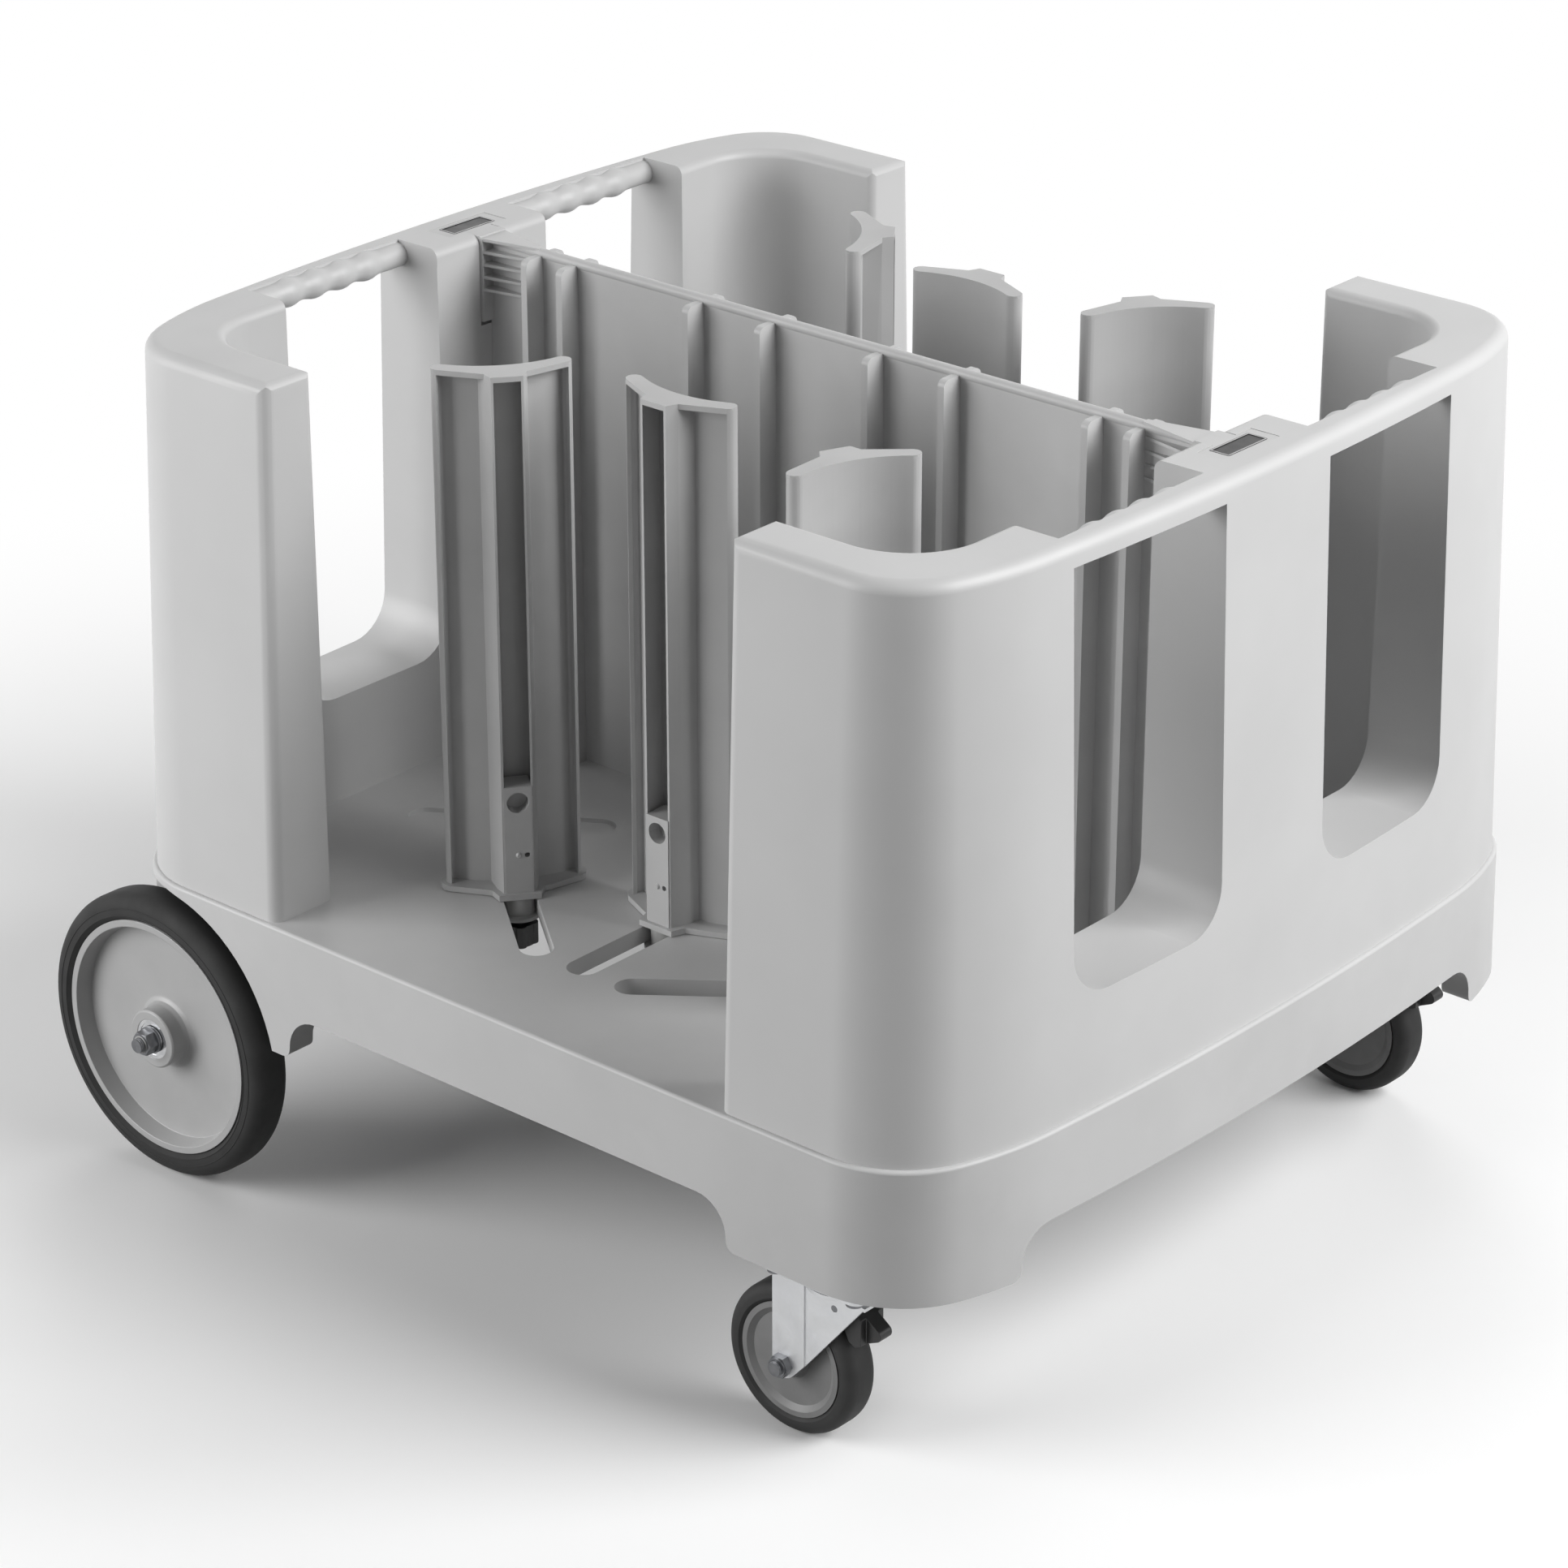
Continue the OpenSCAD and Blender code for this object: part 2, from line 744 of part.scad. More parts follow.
module centre_divider() {
    color(shell_grey) placed() {
        translate([-inner_x, -panel_t / 2, deck_z])
            cube([2 * inner_x, panel_t, divider_z - deck_z - bead_r]);
        translate([-inner_x, 0, divider_z - bead_r])
            rotate([0, 90, 0]) cylinder(r = bead_r, h = 2 * inner_x, $fn = 48);
        for (s = [-1, 1], k = rib_shares)
            translate([s * k * inner_x - rib_t / 2, 0, 0])
                rotate([90, 0, 90])
                    linear_extrude(rib_t)
                        polygon(concat(
                            [[-rib_d, deck_z], [rib_d, deck_z]],
                            arc([rib_d - rib_top_r, divider_z - rib_drop - rib_top_r], rib_top_r, 0, 90, round_n),
                            arc([rib_top_r - rib_d, divider_z - rib_drop - rib_top_r], rib_top_r, 90, 180, round_n)));
        for (m = [0, 1]) mirror([m, 0, 0]) divider_head();
    }
}

// Plain plate on top of the divider's head, with a raised border
module badge_plate() {
    translate([head_x + head_t / 2, 0, wall_z - slip - badge_deep])
        difference() {
            linear_extrude(badge_t) polygon(rounded(badge_w, badge_l, badge_r));
            translate([0, 0, badge_t - slip])
                linear_extrude(slip + over)
                    polygon(rounded(badge_w - 2 * badge_r, badge_l - 2 * badge_r, badge_r / 2));
        }
}

module badge_plate_front() {
    color(plate_dark) placed() badge_plate();
}

module badge_plate_rear() {
    color(plate_dark) placed() mirror([1, 0, 0]) badge_plate();
}

// Rear axle: outer faces of the hub, washer and nut follow from the wheel
hub_face_y = wheel_y + hub_out;
washer_y = hub_face_y - bearing_in + gap;
nut_y = washer_y + washer_t;
axle_end_y = nut_y + nut_h + thread_out;
spacer_y = bracket_y + bracket_t / 2 + boss_l / 2;

module axle() {
    color(steel) placed() translate([-axle_x, 0, wheel_r]) {
        rotate([90, 0, 0]) cylinder(r = axle_r, h = 2 * washer_y, center = true);
        rotate([90, 0, 0]) cylinder(r = thread_r, h = 2 * axle_end_y, center = true);
    }
}

module axle_brackets() {
    top = deck_z - deck_t;
    color(steel) placed() difference() {
        both_sides() {
            translate([-axle_x, -bracket_y + bracket_t / 2, 0])
                across()
                    linear_extrude(bracket_t)
                        difference() {
                            union() {
                                polygon([
                                    [-bracket_l / 2, top], [-bracket_l / 2, top - flange_w / 2],
                                    [-bracket_foot_r, wheel_r], [bracket_foot_r, wheel_r],
                                    [bracket_l / 2, top - flange_w / 2], [bracket_l / 2, top]]);
                                translate([0, wheel_r]) circle(r = bracket_foot_r);
                            }
                            translate([0, (top + wheel_r) / 2 + flange_w / 4]) circle(r = bracket_foot_r);
                        }
            translate([-axle_x - bracket_l / 2, -bracket_y, top - bracket_t])
                cube([bracket_l, flange_w, bracket_t]);
            translate([-axle_x, -bracket_y + boss_l / 2, wheel_r])
                across() cylinder(r = boss_r, h = boss_l);
        }
        translate([-axle_x, 0, wheel_r])
            rotate([90, 0, 0]) cylinder(r = axle_r, h = base_w, center = true);
        bracket_bolt_places()
            translate([0, 0, top - bracket_t - over]) cylinder(r = bracket_bolt_r, h = bracket_t + 2 * over);
    }
}

module bracket_bolts() {
    top = deck_z - deck_t;
    color(steel) placed() bracket_bolt_places() {
        translate([0, 0, top - bracket_t]) cylinder(r = bracket_bolt_r, h = bracket_t + deck_t / 2);
        translate([0, 0, top - bracket_t - wall_bolt_head_h])
            cylinder(r = wall_bolt_head_r, h = wall_bolt_head_h);
    }
}

module axle_spacers() {
    inner = bracket_y + boss_l / 2;
    outer = wheel_y - hub_back + bearing_in - gap;
    color(steel) placed() both_sides()
        translate([-axle_x, -inner, wheel_r])
            across()
                difference() {
                    cylinder(r = spacer_r, h = outer - inner);
                    translate([0, 0, -over]) cylinder(r = axle_r, h = outer - inner + 2 * over);
                }
}

module axle_washers() {
    color(steel) placed() both_sides()
        translate([-axle_x, -washer_y, wheel_r])
            across()
                difference() {
                    cylinder(r = washer_r, h = washer_t);
                    translate([0, 0, -over]) cylinder(r = thread_r, h = washer_t + 2 * over);
                }
}

module axle_nuts() {
    color(steel) placed() both_sides()
        translate([-axle_x, -nut_y, wheel_r])
            across()
                difference() {
                    intersection() {
                        hex(nut_af, nut_h);
                        cylinder(r1 = nut_af / 2 + nut_h, r2 = nut_af / 2, h = nut_h);
                    }
                    translate([0, 0, -over]) cylinder(r = thread_r, h = nut_h + 2 * over);
                }
}

// Puts a shape turned about +Z, with its outer face up, into the right rear wheel
module in_wheel() {
    translate([-axle_x, -wheel_y, wheel_r]) across() children();
}

module wheel_disc() {
    front = rim_half - dish;
    back = front - disc_t;
    in_wheel()
        difference() {
            rotate_extrude($fn = 2 * $fn)
                polygon([
                    [bearing_r, -hub_back], [hub_r, -hub_back], [hub_r + hub_fillet / 2, back],
                    [rim_in_r - dish_draft, back], [rim_in_r, -rim_half], [rim_out_r, -rim_half],
                    [rim_out_r, rim_half], [rim_in_r, rim_half], [rim_in_r - dish_draft, front],
                    [hub_r + hub_fillet, front], [hub_r + hub_fillet / 3, front + hub_fillet / 3],
                    [hub_r, front + hub_fillet], [hub_r, hub_out - rivet_h], [hub_r - rivet_h, hub_out],
                    [bearing_r, hub_out], [bearing_r, hub_out - bearing_in - bearing_w],
                    [race_out_r, hub_out - bearing_in - bearing_w],
                    [race_out_r, bearing_in + bearing_w - hub_back],
                    [bearing_r, bearing_in + bearing_w - hub_back]]);
        }
}

// Tyre with rounded shoulders on a flat seat
function tyre_section(seat, r, w, round) = concat(
    [[seat, -w / 2 + round / 3], [seat + round / 3, -w / 2]],
    arc([r - round, round - w / 2], round, -90, 0, 6),
    arc([r - round, w / 2 - round], round, 0, 90, 6),
    [[seat + round / 3, w / 2], [seat, w / 2 - round / 3]]);

module wheel_tyre() {
    in_wheel() rotate_extrude($fn = 2 * $fn) polygon(tyre_section(rim_out_r, wheel_r, wheel_w, tyre_shoulder));
}

// Ball bearing as a ring with its shield set back between the races
module bearing() {
    rotate_extrude()
        polygon([
            [axle_r + run, 0], [race_in_r, 0], [race_in_r, race_step], [race_out_r, race_step],
            [race_out_r, 0], [bearing_r, 0], [bearing_r, bearing_w], [race_out_r, bearing_w],
            [race_out_r, bearing_w - race_step], [race_in_r, bearing_w - race_step],
            [race_in_r, bearing_w], [axle_r + run, bearing_w]]);
}

module wheel_bearings() {
    in_wheel() {
        translate([0, 0, hub_out - bearing_in - bearing_w]) bearing();
        translate([0, 0, bearing_in - hub_back]) bearing();
    }
}

module wheel_disc_right() {
    color(rim_grey) placed() wheel_disc();
}

module wheel_tyre_right() {
    color(black) placed() wheel_tyre();
}

module wheel_bearings_right() {
    color(steel) placed() wheel_bearings();
}

module wheel_disc_left() {
    color(rim_grey) placed() mirror([0, 1, 0]) wheel_disc();
}

module wheel_tyre_left() {
    color(black) placed() mirror([0, 1, 0]) wheel_tyre();
}

module wheel_bearings_left() {
    color(steel) placed() mirror([0, 1, 0]) wheel_bearings();
}

// Casters: heights of the parts stacked between the fork and the pad
crown_z = caster_h - plate_t - race_h - gap;
roller_x = swivel_x - trail;

// Brake pedal: its pin hangs from the crown, and its shoe ends just over the tyre
pedal_pin_down = 11.2;
pedal_pin_z = crown_z - pedal_pin_down;
shoe_up = 35.5;
shoe_z = roller_r + shoe_up - pedal_pin_z;

module caster_plates() {
    color(steel) placed() difference() {
        both_sides() {
            translate([swivel_x, -swivel_y, caster_h - plate_t])
                linear_extrude(plate_t) polygon(rounded(plate_l, plate_w, roller_shoulder));
            translate([swivel_x, -swivel_y, caster_h - plate_t - race_h])
                cylinder(r1 = race_neck_r, r2 = race_r, h = race_h);
        }
        caster_bolt_places()
            translate([0, 0, caster_h - plate_t - over]) cylinder(r = caster_bolt_r, h = plate_t + 2 * over);
        both_sides()
            translate([swivel_x, -swivel_y, crown_z]) cylinder(r = kingpin_r, h = caster_h - crown_z + over);
    }
}

// Rivets that carry the forks: fast in the plates, free in the crowns
module kingpins() {
    foot = crown_z - fork_t - gap;
    color(steel) placed() both_sides()
        translate([swivel_x, -swivel_y, 0]) {
            translate([0, 0, foot]) cylinder(r = kingpin_r, h = caster_h - foot);
            translate([0, 0, foot - kingpin_head_h]) cylinder(r = kingpin_head_r, h = kingpin_head_h);
        }
}

module caster_bolts() {
    color(steel) placed() caster_bolt_places() {
        translate([0, 0, caster_h - plate_t]) cylinder(r = caster_bolt_r, h = caster_bolt_l);
        translate([0, 0, caster_h - plate_t - caster_bolt_head_h])
            cylinder(r = caster_bolt_head_r, h = caster_bolt_head_h);
    }
}

// Outline of a fork's leg, from the axle: a strip beside the fold, and the gusset
leg_top = crown_z - roller_r;
module leg_outline() {
    polygon(concat(
        [[-leg_front, leg_top], [-leg_front, 0]],
        arc([0, 0], leg_round, 180 + leg_front, 315, 8),
        [[leg_fold, leg_front / 2], [gusset_reach, leg_top]]));
}

module strip_outline() {
    polygon(concat(
        [[-leg_front, leg_top], [-leg_front, 0]],
        arc([0, 0], leg_round, 180 + leg_front, 315, 8),
        [[leg_fold, leg_front / 2], [leg_fold, leg_top]]));
}

module caster_fork() {
    translate([0, -swivel_y, 0])
        difference() {
            union() {
                both_sides() {
                    translate([roller_x, -fork_w / 2, roller_r])
                        across() linear_extrude(fork_t) leg_outline();
                    translate([roller_x, -fork_w / 2, roller_r])
                        across() linear_extrude(fork_t + strip_out) strip_outline();
                }
                translate([roller_x - leg_front, -fork_w / 2 - fork_t, crown_z - fork_t])
                    cube([leg_front + gusset_reach, fork_w + 2 * fork_t, fork_t]);
                translate([swivel_x, 0, crown_z - fork_t]) cylinder(r = crown_r, h = fork_t);
            }
            translate([roller_x, 0, roller_r])
                rotate([90, 0, 0]) cylinder(r = bolt_r, h = 2 * fork_w, center = true);
            translate([swivel_x + pedal_pin_x, 0, pedal_pin_z])
                rotate([90, 0, 0]) cylinder(r = pedal_pin_r, h = 2 * fork_w, center = true);
            translate([swivel_x, 0, crown_z - fork_t - over])
                cylinder(r = kingpin_r + run, h = fork_t + 2 * over);
        }
}

// Axle bolt with its head inside the cart, and the brake pedal's pin
bolt_face = fork_w / 2 + fork_t + strip_out;
module caster_bolt() {
    translate([roller_x, -swivel_y, roller_r]) {
        rotate([90, 0, 0])
            translate([0, 0, -bolt_face]) cylinder(r = bolt_r, h = 2 * bolt_face + lock_nut_h + bolt_out);
        translate([0, bolt_face, 0])
            rotate([-90, 0, 0]) hex(bolt_head_af, bolt_head_h);
    }
    translate([swivel_x + pedal_pin_x, -swivel_y, pedal_pin_z])
        rotate([90, 0, 0]) cylinder(r = pedal_pin_r, h = fork_w + 2 * fork_t, center = true);
}

module caster_nut() {
    translate([roller_x, -swivel_y - bolt_face, roller_r])
        across()
            difference() {
                union() {
                    hex(bolt_head_af, lock_nut_h - fork_t / 2);
                    cylinder(r = bolt_head_af / 2 - slip, h = lock_nut_h);
                }
                translate([0, 0, -over]) cylinder(r = bolt_r, h = lock_nut_h + 2 * over);
            }
}

module caster_disc() {
    half = roller_w / 2 - fork_t / 2;
    hub = fork_w / 2 - gap;
    translate([roller_x, -swivel_y, roller_r])
        rotate([90, 0, 0])
            rotate_extrude($fn = 2 * $fn)
                polygon([
                    [bolt_r + run, -hub], [roller_hub_r, -hub], [roller_hub_r + fork_t, -roller_disc_t / 2],
                    [roller_rim_r - 2 * roller_rim_t, -roller_disc_t / 2],
                    [roller_rim_r - roller_rim_t, -half], [roller_rim_r, -half],
                    [roller_rim_r, half], [roller_rim_r - roller_rim_t, half],
                    [roller_rim_r - 2 * roller_rim_t, roller_disc_t / 2],
                    [roller_hub_r + fork_t, roller_disc_t / 2], [roller_hub_r, hub], [bolt_r + run, hub]]);
}

module caster_tyre() {
    translate([roller_x, -swivel_y, roller_r])
        rotate([90, 0, 0])
            rotate_extrude($fn = 2 * $fn)
                polygon(tyre_section(roller_rim_r, roller_r, roller_w, roller_shoulder));
}

// Pedal seen from the side: round boss on the pin, round tip of the narrow tongue, and a
// shoe that comes down on the tyre
pedal_outline = concat(
    arc([0, 0], pedal_boss_r, 205, 60, 8),
    arc([pedal_reach - pedal_tip_r, -pedal_drop], pedal_tip_r, 60, -70, 8),
    [[shoe_x + pedal_t, shoe_z], [shoe_x, shoe_z + pedal_t / 2]]);

module brake_pedal() {
    translate([swivel_x + pedal_pin_x, -swivel_y + pedal_w / 2, pedal_pin_z])
        across() {
            linear_extrude(pedal_w)
                difference() {
                    polygon(pedal_outline);
                    circle(r = pedal_pin_r + run);
                    translate([tongue_x, -pedal_reach]) square(2 * pedal_reach);
                }
            translate([0, 0, (pedal_w - tongue_w) / 2])
                linear_extrude(tongue_w)
                    intersection() {
                        polygon(pedal_outline);
                        translate([tongue_x - over, -pedal_reach]) square(2 * pedal_reach);
                    }
        }
}

module caster_fork_right() {
    color(steel) placed() caster_fork();
}

module caster_bolt_right() {
    color(steel) placed() caster_bolt();
}

module caster_nut_right() {
    color(steel) placed() caster_nut();
}

module caster_disc_right() {
    color(rim_grey) placed() caster_disc();
}

module caster_tyre_right() {
    color(black) placed() caster_tyre();
}

module brake_pedal_right() {
    color(black) placed() brake_pedal();
}

module caster_fork_left() {
    color(steel) placed() mirror([0, 1, 0]) caster_fork();
}

module caster_bolt_left() {
    color(steel) placed() mirror([0, 1, 0]) caster_bolt();
}

module caster_nut_left() {
    color(steel) placed() mirror([0, 1, 0]) caster_nut();
}

module caster_disc_left() {
    color(rim_grey) placed() mirror([0, 1, 0]) caster_disc();
}

module caster_tyre_left() {
    color(black) placed() mirror([0, 1, 0]) caster_tyre();
}

module brake_pedal_left() {
    color(black) placed() mirror([0, 1, 0]) brake_pedal();
}

// Puts a shape onto the stud of a tower, nose along the slot and turned with it
module at_stud(i) {
    placed()
        translate([stud_at(i).x, stud_at(i).y, 0])
            rotate([0, 0, slot_in(i) + 180 + tower_turn[i]])
                children();
}

flange_z = deck_z + 2 * gap;

// Cross-section of a tower: one wall that runs round the hollow arc and its tips, and
// the two channel walls between the arc and the nose
function half_wall(e) = concat(
    without_last(arc(face_c, face_r + e, 0, face_a, 8)),
    arc(tip_c, tip_r - e, 180 + face_a, tip_a, 8));
module tower_section() {
    out = half_wall(0);
    inner = half_wall(tower_t);
    polygon(concat(
        reversed(flipped(out, 1, -1)), [for (i = [1:len(out) - 1]) out[i]],
        reversed(inner), [for (i = [1:len(inner) - 1]) [inner[i].x, -inner[i].y]]));
    for (s = [-1, 1])
        polygon([
            [nose_x, s * nose_half], [shoulder_x, s * shoulder_half],
            [-face_x, s * root_half], [-face_x, s * (root_half - channel_t)],
            [shoulder_x - channel_t / 3, s * (shoulder_half - channel_t)],
            [nose_x, s * (nose_half - channel_t)]]);
}

module tower(i) {
    shell_z = flange_z + flange_t - over;
    color(tower_grey) at_stud(i) difference() {
        union() {
            translate([0, 0, flange_z]) linear_extrude(flange_t) polygon(tower_plan(flange_out));
            translate([0, 0, shell_z]) linear_extrude(tower_z - cap_t / 2 - shell_z) tower_section();
            translate([0, 0, tower_z - cap_t]) linear_extrude(cap_t) polygon(tower_plan(0));
            translate([-block_half, -block_half, shell_z])
                cube([block_half + nose_x + block_out, 2 * block_half, block_h + over]);
            translate([nose_x + block_out - slip, 0, flange_z + flange_t + rivet_up])
                rotate([0, 90, 0]) cylinder(r1 = rivet_r, r2 = rivet_r / 2, h = rivet_h + slip);
        }
        translate([0, 0, flange_z - over]) cylinder(r = stud_r, h = stud_up + over);
        translate([nose_x + block_out - access_deep, 0, flange_z + flange_t + block_h - access_down])
            rotate([0, 90, 0]) cylinder(r = access_r, h = access_deep + over);
        translate([nose_x + block_out - access_deep / 2, drain_y, flange_z + flange_t + rivet_up])
            rotate([0, 90, 0]) cylinder(r = drain_r, h = access_deep);
    }
}

bush_z = deck_z - deck_t - gap - bush_flange_t;
knob_z = bush_z - gap - knob_h;

module tower_stud(i) {
    color(steel) at_stud(i)
        translate([0, 0, knob_z + knob_h / 4])
            cylinder(r = stud_r, h = flange_z + stud_up - knob_z - knob_h / 4);
}

// Flanged bush: its collar runs in the slot, its flange under the deck
module slot_bush(i) {
    color(rim_grey) at_stud(i) difference() {
        union() {
            translate([0, 0, bush_z]) cylinder(r = bush_r, h = flange_z - gap - bush_z);
            translate([0, 0, bush_z]) cylinder(r = bush_flange_r, h = bush_flange_t);
        }
        translate([0, 0, bush_z - over]) cylinder(r = stud_r + run, h = flange_z - bush_z + 2 * over);
    }
}

module clamp_knob(i) {
    color(black) at_stud(i) difference() {
        union() {
            translate([0, 0, knob_z])
                linear_extrude(knob_h - knob_neck_h) {
                    circle(r = knob_r - lobe_r / 2);
                    for (k = [0:knob_lobes - 1])
                        rotate([0, 0, k * 360 / knob_lobes])
                            translate([knob_r - lobe_r, 0]) circle(r = lobe_r);
                }
            translate([0, 0, knob_z + knob_h - knob_neck_h - over])
                cylinder(r = knob_neck_r, h = knob_neck_h + over);
        }
        translate([0, 0, knob_z + knob_h / 4 - gap])
            cylinder(r = stud_r + run, h = knob_h);
    }
}

base_deck();
end_wall_rear();
end_wall_front();
wall_bolts();
centre_divider();
badge_plate_rear();
badge_plate_front();
axle();
axle_brackets();
bracket_bolts();
axle_spacers();
axle_washers();
axle_nuts();
wheel_disc_right();
wheel_tyre_right();
wheel_bearings_right();
wheel_disc_left();
wheel_tyre_left();
wheel_bearings_left();
caster_plates();
caster_bolts();
kingpins();
caster_fork_right();
caster_bolt_right();
caster_nut_right();
caster_disc_right();
caster_tyre_right();
brake_pedal_right();
caster_fork_left();
caster_bolt_left();
caster_nut_left();
caster_disc_left();
caster_tyre_left();
brake_pedal_left();
tower(0);  // tower_1
tower(1);  // tower_2
tower(2);  // tower_3
tower(3);  // tower_4
tower(4);  // tower_5
tower(5);  // tower_6
tower_stud(0);  // tower_stud_1
tower_stud(1);  // tower_stud_2
tower_stud(2);  // tower_stud_3
tower_stud(3);  // tower_stud_4
tower_stud(4);  // tower_stud_5
tower_stud(5);  // tower_stud_6
slot_bush(0);  // slot_bush_1
slot_bush(1);  // slot_bush_2
slot_bush(2);  // slot_bush_3
slot_bush(3);  // slot_bush_4
slot_bush(4);  // slot_bush_5
slot_bush(5);  // slot_bush_6
clamp_knob(0);  // clamp_knob_1
clamp_knob(1);  // clamp_knob_2
clamp_knob(2);  // clamp_knob_3
clamp_knob(3);  // clamp_knob_4
clamp_knob(4);  // clamp_knob_5
clamp_knob(5);  // clamp_knob_6
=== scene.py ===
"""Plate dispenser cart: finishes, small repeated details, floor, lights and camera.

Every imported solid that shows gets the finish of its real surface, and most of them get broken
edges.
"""

import json
import logging
import math
from dataclasses import dataclass
from enum import Enum

import bmesh
import bpy
from mathutils import Matrix, Vector


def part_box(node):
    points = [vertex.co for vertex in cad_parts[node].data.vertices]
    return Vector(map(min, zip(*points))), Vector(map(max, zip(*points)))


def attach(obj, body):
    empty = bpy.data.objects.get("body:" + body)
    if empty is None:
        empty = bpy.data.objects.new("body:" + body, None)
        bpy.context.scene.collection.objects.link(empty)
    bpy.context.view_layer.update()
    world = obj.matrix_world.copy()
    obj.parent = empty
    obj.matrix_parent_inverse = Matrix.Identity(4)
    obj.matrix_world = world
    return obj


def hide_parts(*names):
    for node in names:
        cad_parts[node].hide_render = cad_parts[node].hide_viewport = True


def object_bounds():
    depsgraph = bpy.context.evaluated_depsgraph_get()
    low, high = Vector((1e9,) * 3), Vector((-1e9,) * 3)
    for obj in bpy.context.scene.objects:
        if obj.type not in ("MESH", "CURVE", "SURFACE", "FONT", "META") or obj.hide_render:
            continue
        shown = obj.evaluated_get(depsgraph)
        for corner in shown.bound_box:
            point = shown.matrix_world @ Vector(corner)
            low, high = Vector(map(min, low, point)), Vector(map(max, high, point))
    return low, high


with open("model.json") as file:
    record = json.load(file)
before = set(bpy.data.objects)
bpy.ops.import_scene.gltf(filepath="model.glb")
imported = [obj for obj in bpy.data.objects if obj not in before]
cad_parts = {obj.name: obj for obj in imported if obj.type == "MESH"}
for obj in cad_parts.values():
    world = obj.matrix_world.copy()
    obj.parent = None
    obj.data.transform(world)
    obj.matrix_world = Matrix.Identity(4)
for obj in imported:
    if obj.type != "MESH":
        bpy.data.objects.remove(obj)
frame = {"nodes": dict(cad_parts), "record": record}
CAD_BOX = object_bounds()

LOG = logging.getLogger("plate_cart")
MM = 0.001
QUARTER_DEG = 90
BODIES: dict[str, list[str]] = frame["record"]["behaviour"]["bodies"]
BODY_OF: dict[str, str] = {node: body for body, nodes in BODIES.items() for node in nodes}

# Each side of the cart, with the sign of Y that points outwards there.
SIDES = (("right", -1), ("left", 1))

# The sRGB curve: a straight line up to its knee, then a power.
BYTE_MAX = 255
SRGB_KNEE = 0.04045
SRGB_SLOPE = 12.92
SRGB_OFFSET = 0.055
SRGB_POWER = 2.4

WHITE = (1.0, 1.0, 1.0, 1.0)

# Sockets of a Mix node that mixes colours.
MIX_A = 6
MIX_B = 7
MIX_COLOUR = 2


def linear(hex_colour: str) -> tuple[float, float, float, float]:
    """Turns an sRGB hex value into the linear colour that a shader takes.

    Args:
        hex_colour: Six hex digits after a hash sign.

    Returns:
        Linear red, green, blue and an alpha of 1.
    """
    parts = [int(hex_colour[i:i + 2], 16) / BYTE_MAX for i in (1, 3, 5)]
    red, green, blue = [
        p / SRGB_SLOPE if p <= SRGB_KNEE
        else ((p + SRGB_OFFSET) / (1 + SRGB_OFFSET)) ** SRGB_POWER for p in parts]
    return red, green, blue, 1.0


def add_node(tree: bpy.types.NodeTree, kind: str, inputs: dict | None = None,
             **settings: object) -> bpy.types.Node:
    """Adds one node with its settings and with what its inputs take.

    Args:
        tree: The node tree.
        kind: The node's type name.
        inputs: Input names or numbers, each with a value or with the output that feeds it.
        settings: Attributes of the node itself.

    Returns:
        The new node.
    """
    node = tree.nodes.new(kind)
    for name, value in settings.items():
        setattr(node, name, value)
    for name, value in (inputs or {}).items():
        if isinstance(value, bpy.types.NodeSocket):
            tree.links.new(value, node.inputs[name])
        else:
            node.inputs[name].default_value = value
    return node


def seen_directly(tree: bpy.types.NodeTree) -> bpy.types.NodeSocket:
    """Gives 1 where the camera sees a surface, also in a reflection or through glass, else 0.

    Args:
        tree: The material's or world's tree.

    Returns:
        The output.
    """
    path = add_node(tree, "ShaderNodeLightPath").outputs
    straight = add_node(tree, "ShaderNodeMath", {
        0: path["Is Camera Ray"], 1: path["Is Glossy Ray"]}, operation="MAXIMUM")
    through = add_node(tree, "ShaderNodeMath", {
        0: straight.outputs[0], 1: path["Is Transmission Ray"]}, operation="MAXIMUM")
    return through.outputs[0]


def on_axis(low: Vector, high: Vector, along: float) -> Vector:
    """Gives the point at a Y along the line through a box's middle, all in metres."""
    return Vector(((low.x + high.x) / 2, along, (low.z + high.z) / 2))


class Edge(Enum):
    """How wide an edge is broken, in mm, by how the piece was made."""

    SHARP = 0.0
    TURNED = 0.25
    PRESSED = 0.4
    MOULDED = 0.8
    SOFT = 1.6


@dataclass(frozen=True)
class Noise:
    """How fine a noise is, and which part of its values is drawn out."""

    detail: float
    roughness: float = 0.5
    low: float = 0.0
    high: float = 1.0


# Slow drift of a colour, rubbed marks, clouds of roughness and the fine relief.
DRIFT = Noise(detail=3.0, roughness=0.55, low=0.35, high=0.65)
MARKS = Noise(detail=8.0, roughness=0.7, low=0.55, high=0.75)
CLOUDS = Noise(detail=4.0, low=0.3, high=0.7)
GRAIN = Noise(detail=3.0)
CLOUDS_PER_PATCH = 2


